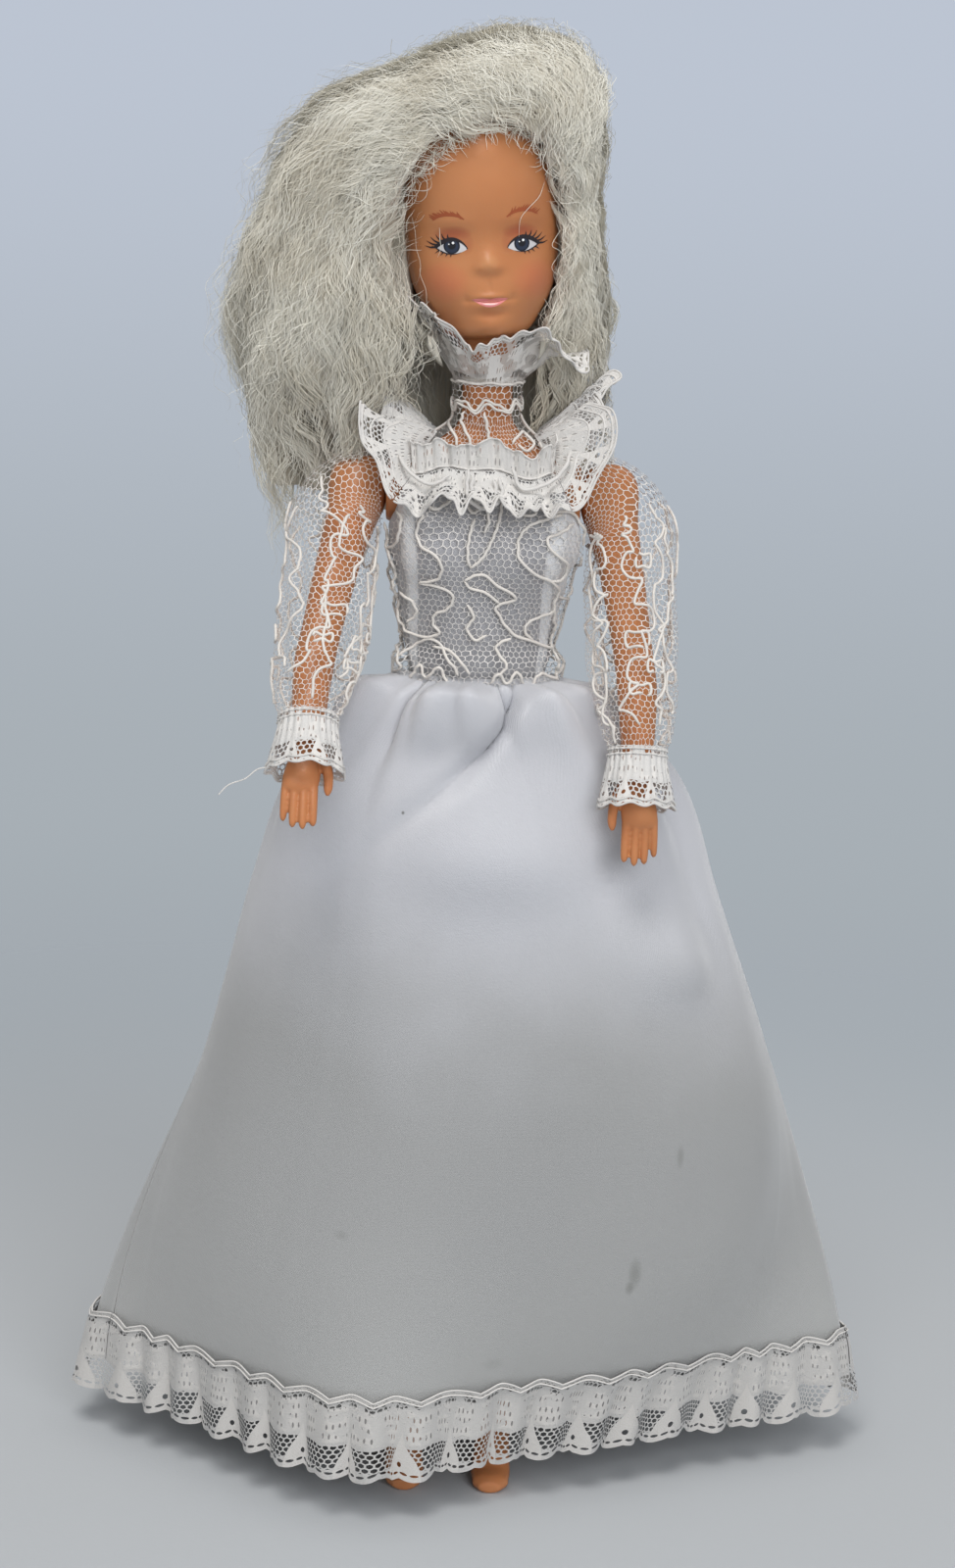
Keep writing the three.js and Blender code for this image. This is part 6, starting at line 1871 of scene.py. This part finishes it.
def makeMouth():
    left, right = (-3.55, 15.95), (3.85, 15.8)
    share = np.linspace(0, 1, 44)
    xs = mix(left[0], right[0], share)
    seam = mix(left[1], right[1], share) - 0.62 * np.sin(share * math.pi)
    bow = 0.85 * np.sin(share * math.pi) ** 0.8 - 0.22 * hump(share, 0.5, 0.09)
    upper, lower = seam + bow, seam - 0.95 * np.sin(share * math.pi) ** 1.1
    grid = lambda a, b: np.stack([np.stack([xs, mix(a, b, k)], -1) for k in np.linspace(0, 1, 8)])
    parts = [patch(grid(upper, seam + 0.02), 0.04, "lip"), patch(grid(seam - 0.02, lower), 0.04, "lip")]
    # a painted highlight along the middle of the lower lip
    parts.append(stroke(np.stack([xs, seam - 0.35], -1)[12:32], [0.05, 0.3, 0.34, 0.3, 0.05], 0.08, "lipLight", 30))
    parts.append(stroke(np.stack([xs, seam], -1), [0.03, 0.09, 0.1, 0.09, 0.03], 0.07, "brow", 40))
    return joined("paintedMouth", *parts)


for painted in (
    makeEye(-1, "rightEye"), makeEye(1, "leftEye"), makeBrow(-1, "rightBrow"), makeBrow(1, "leftBrow"), makeMouth(),
):
    dress("vinyl", "head", painted)
print("head and painted face are made")


# ---- Hair: a streaked mass inside each sweep, locks of strands combed over it, and loose frizz above them
hair = {"width": 0.15, "looseWidth": 0.1, "steps": 17, "each": 20, "crimp": 0.32, "wave": 1.4}


def strands(name, paths, facings, tones, material, width):  # flat ribbons, one along each path
    count, steps = paths.shape[:2]
    ahead = normalised(np.gradient(paths, axis=1))
    aside = normalised(np.cross(ahead, facings))
    taper = np.interp(np.linspace(0, 1, steps), [0, 0.12, 0.75, 1], [0.35, 1, 0.9, 0.25])[None, :, None]
    wide = width * taper / 2
    points = np.stack([paths - aside * wide, paths + aside * wide], 2)
    i, j = np.meshgrid(np.arange(count), np.arange(steps - 1), indexing="ij")
    start = (i * steps + j) * 2
    faces = np.stack([start, start + 1, start + 3, start + 2], -1).reshape(-1, 4)
    tone = np.repeat(tones, steps - 1)
    along = np.tile(np.arange(steps - 1), count)
    uv = np.stack([np.stack([tone, along + k], -1) for k in (0, 0, 1, 1)], 1).reshape(-1, 2)
    return makeMesh(name, points.reshape(-1, 3), faces, material, uv)


# a lock waves as one, and each strand has a crimp of its own
def waved(paths, facings, dice, lock, paces, crimp, wave):
    count, locks = len(paths), lock.max() + 1
    ahead = normalised(np.gradient(paths, axis=1))
    aside = normalised(np.cross(ahead, facings))
    lengths = np.concatenate([np.zeros((count, 1)), np.cumsum(np.linalg.norm(np.diff(paths, axis=1), axis=2), 1)], 1)
    out = paths.copy()
    for direction, share in ((aside, 1.0), (facings, 0.5)):
        phase, pace = dice.uniform(0, turn, locks)[lock][:, None], dice.uniform(11, 19, locks)[lock][:, None]
        own = np.sin(lengths / dice.uniform(*paces, (count, 1)) * turn + dice.uniform(0, turn, (count, 1)))
        own = own * crimp * dice.uniform(0.3, 1.3, (count, 1))
        out = out + direction * (np.sin(lengths / pace * turn + phase) * wave * share + own)[..., None]
    return out


def sweep(inner, outer, depths, ridge):  # between an inner and an outer edge; t goes round the section, 0 at the outer
    rows = np.column_stack([np.arange(len(inner)), inner, outer, depths])
    read, last = through(rows), len(inner) - 1

    def point(t, s, radius=1.0):
        values = read(np.clip(s, 0, 1) * last)
        near, far = stack(*values[:3]), stack(*values[3:6])
        side, forward = (far - near) / 2, stack(0.0, -values[6], 0.0 * values[6])
        combed = np.abs(nearAngle(t)) + 3.0 * s
        dips = 0.15 * hump(s, 0.44, 0.045) + 0.08 * hump(s, 0.7, 0.05)
        ridges = np.sin(5.3 * combed + 1.5 * np.sin(7 * s)) + 0.6 * np.sin(12.1 * combed - 4 * s)
        ridges = ridges + 0.3 * np.sin(25 * combed)
        lumps = 1 - dips + 0.03 * np.sin(13 * s + 1.5 * np.sin(t)) + ridge * ridges
        c, n = (np.cos(t) * lumps * radius)[..., None], (np.sin(t) * lumps * radius)[..., None]
        facing = side * np.cos(t)[..., None] / (side**2).sum(-1, keepdims=True)
        facing = facing + forward * np.sin(t)[..., None] / (forward**2).sum(-1, keepdims=True)
        return (near + far) / 2 + side * c + forward * n, normalised(facing)

    return point


def placedDirections(vectors):
    return placeHead(vectors) - np.array([0, 0, head["seat"]])


def sweptHair(name, shape, seed, locks, loose, span, length, comb, front=0.78):
    dice = np.random.default_rng(seed)
    parts = []
    share = np.linspace(0, 1, hair["steps"])[None]
    for count, gathered in ((locks * hair["each"], True), (loose, False)):
        lock = np.repeat(np.arange(locks), hair["each"]) if gathered else np.arange(count)
        groups = lock.max() + 1
        turns = np.arccos(dice.uniform(-1, 1, groups)) * np.where(dice.uniform(0, 1, groups) < front, 1, -1)
        start = dice.uniform(span[0] - 0.02, span[1] - 0.1, groups)
        reach = dice.uniform(*length, groups) * (1 if gathered else 0.45)
        if gathered:
            lift = np.maximum(dice.normal(0.02, 0.07, groups), -0.06)
        else:
            lift = 0.16 * dice.uniform(0, 1, groups) + 0.3 * dice.uniform(0, 1, groups) ** 5
        tone = dice.uniform(0, 0.8, groups)
        spread = dice.normal(0, 0.1, (count, 1)) * (1 - 0.5 * share) if gathered else 0
        rooted = smooth(2.3, 3.0, turns)[lock][:, None]
        begin = (start[lock] + dice.normal(0, 0.012, count))[:, None]
        s = begin + (reach[lock] * dice.uniform(0.8, 1.1, count))[:, None] * share
        pulled = mix(comb, 0.35 * comb, smooth(0.35, 0.8, s)) * share + 0.07 * np.sin(s * 15 + 5 * turns[lock][:, None])
        t = np.sign(turns)[lock][:, None] * np.maximum(np.abs(turns)[lock][:, None] + spread - pulled, -0.25)
        radius = 0.86 + lift[lock][:, None] + np.abs(dice.normal(0, 0.012, (count, 1)))
        radius = radius + 0.17 * rooted * (1 - share) ** 3
        radius = radius + dice.normal(0, 0.035, (groups, 1))[lock] * share**2
        paths, facings = shape(t, s, radius)
        direction = shape(t, np.full_like(s, 1.0))[0] - shape(t, np.full_like(s, 0.97))[0]
        paths = paths + direction * np.clip(s - 1, 0, 1)[..., None] / 0.03
        if gathered:
            paths = waved(paths, facings, dice, lock, (7, 13), hair["crimp"], hair["wave"])
        else:
            paths = waved(paths, facings, dice, lock, (5, 10), 0.95, 0.8)
        tilt = facings + dice.normal(0, 0.25, facings[:, :1].shape)
        tones = np.clip(tone[lock] + dice.normal(0.1, 0.16, count), 0, 1)
        width = hair["width"] if gathered else hair["looseWidth"]
        parts.append(strands(name + "Strands", placeHead(paths), placedDirections(tilt), tones, strandHair, width))
    rings = 56
    ends = (1 - np.abs(np.linspace(-1, 1, rings)) ** 9) ** 0.5 * 0.8 + 0.02
    spin = np.linspace(0, turn, 120, endpoint=False)
    along = np.linspace(span[0], min(span[1], 1.0), rings)[:, None]
    surface = shape(np.broadcast_to(spin, (rings, 120)), np.broadcast_to(along, (rings, 120)), ends[:, None])[0]
    parts.append(loft(name + "Mass", placeHead(surface), combedHair))
    return joined(name, *parts)


bigSweep = sweep(
    [(15.5, -8, 37), (13.6, -10.5, 43), (10, -13, 47.4), (4, -14.6, 49.6), (-3.5, -14.4, 48.4), (-8.8, -12.8, 44.4),
     (-13.2, -10, 38.5), (-15.8, -6.5, 31), (-15.6, -5, 21.7), (-13.6, -3, 13), (-11.8, 0, 4), (-13.0, 4, -4)],
    [(25, -2, 46), (26.3, -1, 57), (20.5, -1, 65.5), (10, -1, 68.6), (-3, -1, 67), (-18, 0, 63.6),
     (-33, 1, 55.5), (-44, 3, 43), (-51, 5, 30), (-54, 7, 15), (-53.5, 8, 3), (-49, 9, -9)],
    [4.5, 6, 7, 7.5, 8, 8.6, 9.6, 10.8, 11.8, 12.6, 12, 9.5], 0.07,
)
smallSweep = sweep(
    [(10.5, -11.5, 50), (13.2, -9.8, 45), (14.8, -7.5, 39), (16.0, -5.5, 31), (15.9, -5, 24), (14.2, -4, 17),
     (11.4, -2, 9), (10.8, 1, -1)],
    [(19, -1, 62), (25.0, 0, 55), (26.4, 0.5, 46), (25.2, 2, 37), (24.6, 3, 28), (26.0, 5, 19),
     (26.2, 7, 9), (25, 9, -2)],
    [4.5, 5.5, 6, 6.2, 6.6, 7, 6.6, 5], 0.07,
)
for name, node, shape, seed, counts, span, length, comb in (
    ("hairFrontRoll", "hair_front_roll", bigSweep, 61, (132, 1450), (0.0, 0.5), (0.18, 0.34), 1.25),
    ("hairRightWave", "hair_right_wave", bigSweep, 62, (132, 1450), (0.42, 1.0), (0.2, 0.4), 1.0),
    ("hairLeftWave", "hair_left_wave", smallSweep, 63, (128, 1200), (0.0, 1.0), (0.3, 0.6), 0.9),
):
    lock = sweptHair(name, shape, seed, *counts, span, length, comb)
    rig.replaces(lock, node)
    if name == "hairLeftWave":
        dressBetween("hair", "head", "torso", (0, 0, 252), (0, 0, 216), lock)
    else:
        dress("hair", "head", lock)


def crownPath(t, s):  # over the scalp: t runs round the hairline from the doll's right jaw to the left, s to the nape
    a = t * 0.84 * math.pi
    startX = 16.3 * np.sign(np.sin(a)) * np.abs(np.sin(a)) ** 0.7
    startZ = 26 + 27.0 * np.sign(np.cos(a)) * np.abs(np.cos(a)) ** 0.8
    startY = -13.0 * np.sqrt(np.clip(1 - (np.abs(startX) / 18.0) ** 2, 0, 1)) + 3.5
    start = stack(startX, startY, startZ)
    end = stack(17.5 * np.sin(t * quarter), 4 + 17 * np.cos(t * quarter), 0.0)
    over = stack(startX * 1.7, 16 - 14 * np.abs(t), 78 - 56 * np.abs(t))
    s = s[..., None]
    raw = start * (1 - s) ** 2 + over * 2 * s * (1 - s) + end * s**2
    centre, sizes = np.array([0, 2.5, 29.0]), np.array([20.6, 23.8, 32.5])
    way = normalised(raw - centre)
    shell = 1 / np.sqrt((way**2 / sizes**2).sum(-1, keepdims=True))
    reach = mix(np.linalg.norm(raw - centre, axis=-1, keepdims=True), shell, smooth(0, 0.22, s))
    return centre + way * reach


def thickened(name, surface, us, vs, depth):
    mass = makeSheet(name, surface, us, vs, massHair, thickness=depth)
    bpy.ops.object.select_all(action="DESELECT")
    mass.select_set(True)
    bpy.context.view_layer.objects.active = mass
    bpy.ops.object.modifier_apply(modifier="Thickness")
    return mass


def makeCrown():
    dice = np.random.default_rng(71)
    middle = np.array([0, 2.5, 29.0])
    parts = []
    share = np.linspace(0, 1, hair["steps"])[None]
    for locks, each, lift, width in ((148, hair["each"], 1.0, hair["width"]), (520, 1, 2.6, hair["looseWidth"])):
        count, lock = locks * each, np.repeat(np.arange(locks), each)
        first = dice.uniform(-1, 1, locks)[lock][:, None] + dice.normal(0, 0.035, (count, 1)) * (1 - 0.5 * share)
        s = (dice.uniform(0, 0.62, locks)[lock] + dice.normal(0, 0.02, count))[:, None]
        s = s + share * dice.uniform(0.3, 0.42, (count, 1))
        paths = crownPath(np.clip(first + 0.05 * np.sin(s * 5 + first * 9), -1.02, 1.02), np.maximum(s, 0))
        facings = normalised(paths - middle)
        paths = paths + facings * dice.uniform(0.1, lift, locks)[lock][:, None, None]
        paces, crimp = ((7, 13), hair["crimp"]) if each > 1 else ((5, 10), 0.9)
        paths = waved(paths, facings, dice, lock, paces, crimp, 0.9)
        tilt = facings + dice.normal(0, 0.25, facings[:, :1].shape)
        tones = np.clip(dice.uniform(0, 0.8, locks)[lock] + dice.normal(0.1, 0.16, count), 0, 1)
        parts.append(strands("crownStrands", placeHead(paths), placedDirections(tilt), tones, strandHair, width))

    def shell(t, s):
        base = crownPath(t, s)
        lumps = 0.35 * np.sin(t * 46 + 3 * np.sin(5 * s)) + 0.25 * np.sin(t * 83 - 6 * s)
        return placeHead(base + normalised(base - middle) * (lumps * smooth(0.02, 0.1, s) - 0.3)[..., None])

    parts.append(thickened("crownMass", shell, np.linspace(-1, 1, 130), np.linspace(0, 1, 46), 2.5))
    crown = joined("hairCrown", *parts)
    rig.replaces(crown, "hair_crown")
    dress("hair", "head", crown)


fallRows = through([
    [-1, -1.06, 0.50], [-0.6, -0.74, 0.755], [-0.25, -0.34, 0.925], [0.2, 0, 1], [0.65, 0.28, 0.943], [1, 0.52, 0.792],
])


def fallPoint(u, v):  # v runs from the back of the head at -1, through the bend at 0, to the tips at 1
    down, rise = np.maximum(v, 0), np.clip(-v, 0, 1)[..., None]
    reachX, reachY = fallRows(u)
    sway = 0.05 * np.cos(9 * u + 2 * down) - 0.113 * down
    taper = 1 - 0.2 * down
    length = 43 * (1 - 0.21 * u * u) + 2.2 * np.sin(6 * u + 2) * down
    x, y = 50 * (reachX + sway) * taper, 26.5 * reachY * taper + 2.5 * down
    spin = 1.75 * u - 0.15
    root = placeHead(stack(17 * np.sin(spin), 4 + 18.5 * np.cos(spin), 42 - 5 * np.abs(u)))
    bend = stack(0.94 * x, 0.97 * y, 274 + 0 * v)
    return stack(x, y, 250 - length * down) * (1 - rise) ** 2 + bend * 2 * rise * (1 - rise) + root * rise**2


def makeFall():
    dice = np.random.default_rng(73)
    parts = []
    share = np.linspace(0, 1, hair["steps"])[None]
    for locks, each, lift, width in ((150, hair["each"], 1.0, hair["width"]), (560, 1, 1.9, hair["looseWidth"])):
        count, lock = locks * each, np.repeat(np.arange(locks), each)
        first = dice.uniform(-1, 1, locks)[lock][:, None] + dice.normal(0, 0.035, (count, 1)) * (1 - 0.5 * share)
        v = (dice.uniform(-0.95, 0.66, locks)[lock] + dice.normal(0, 0.02, count))[:, None]
        v = v + share * dice.uniform(0.35, 0.5, (count, 1))
        v = np.minimum(v, 1.02 + 0.16 * dice.uniform(0, 1, (count, 1)))
        u = np.clip(first + 0.05 * np.sin(v * 4 + first * 11), -1.03, 1.03)
        side = np.where(dice.uniform(0, 1, locks) < 0.5, 1.0, -1.0)[lock][:, None, None]
        facings = normalOf(fallPoint, u, v) * side
        lumps = 0.6 * np.sin(u * 23 + 2 * np.sin(4 * v))[..., None] * side
        bulge = 1 - 0.55 * np.abs(u[..., None]) ** 4
        paths = fallPoint(u, v) + facings * bulge * (dice.uniform(1.7, 2.6, locks)[lock][:, None, None] * lift + lumps)
        paces, crimp = ((7, 13), hair["crimp"]) if each > 1 else ((5, 10), 0.9)
        paths = waved(paths, facings, dice, lock, paces, crimp, 0.9)
        tilt = facings + dice.normal(0, 0.25, facings[:, :1].shape)
        tones = np.clip(dice.uniform(0, 0.8, locks)[lock] + dice.normal(0.1, 0.16, count), 0, 1)
        parts.append(strands("fallStrands", paths, tilt, tones, strandHair, width))

    def wavy(a, b):
        out = 1.9 + 0.6 * np.sin(a * 23 + 2 * np.sin(4 * b)) + 0.3 * np.sin(a * 61 + b)
        return fallPoint(a, b) + normalOf(fallPoint, a, b) * out[..., None]

    parts.append(thickened("fallMass", wavy, np.linspace(-0.99, 0.99, 110), np.linspace(-0.97, 0.97, 50), 3.8))
    fall = joined("hairFall", *parts)
    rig.replaces(fall, "hair_fall")
    dressBetween("hair", "head", "torso", (0, 0, 252), (0, 0, 205), fall)


strayHairs = [  # x and z on the face of single hairs that fall across it
    [(12.8, 38.5), (11.4, 35.8), (9.2, 33.9), (7.4, 32.0), (6.9, 30.1), (6.6, 27.9)],
    [(-11.1, 41.0), (-11.4, 37.3), (-12.8, 35.8), (-14.4, 36.7), (-15.4, 37.6)],
    [(-14.6, 33.4), (-14.0, 29.7), (-13.8, 26.5), (-13.2, 23.6), (-13.6, 20.8), (-14.4, 18.4)],
    [(-9.3, 30.6), (-9.1, 27.4), (-9.7, 24.6)],
]


def makeWisps():  # short fine hairs over the edge of the forehead, and the strays
    dice = np.random.default_rng(77)
    edge = through([[-14.6, 38], [-12, 41.5], [-8.5, 45.5], [-4, 48.6], (2, 50.2), (7, 49.8), (11, 47), (14.3, 40)])
    lines = []
    for _ in range(300):
        x = dice.uniform(-14, 14)
        z = float(edge(x)[0]) + dice.uniform(-0.4, 1.6)
        lean, length = dice.normal(-0.25, 0.8), dice.uniform(1.2, 5.0) * dice.uniform(0.5, 1)
        curl = dice.normal(0, 0.9)
        lines.append([
            (x + length * t * math.sin(lean + curl * t), z - length * t * math.cos(lean + curl * t))
            for t in (0, 0.3, 0.65, 1)
        ])
    paths, facings = [], []
    for k, line in enumerate(lines + strayHairs):
        count, share = np.arange(len(line)), np.linspace(0, 1, hair["steps"])
        x, z = through(np.column_stack([count, line]))(share * (len(line) - 1))
        x = np.clip(x + 0.1 * np.sin(9 * share + k), -15.2, 15.2)
        proud = dice.uniform(0.5, 1.8) * np.sin(math.pi * mix(0.25, 0.9, share)) + 0.15
        point = faceAt(x, z, proud)
        paths.append(point)
        facings.append(stack(x * 0.06, -1.0, 0.1))
    paths, facings = np.array(paths), normalised(np.array(facings))
    tones = dice.uniform(0.3, 1, len(paths))
    wisps = strands("hairWisps", placeHead(paths), placedDirections(facings), tones, strandHair, 0.11)
    dress("hair", "head", wisps)


makeCrown()
makeFall()
makeWisps()
print("hair is rooted")

sizes = {"cad": [list(corner) for corner in cadBounds], "scene": [list(corner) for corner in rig.bounds()]}
with open("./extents.json", "w") as kept:
    json.dump(sizes, kept)
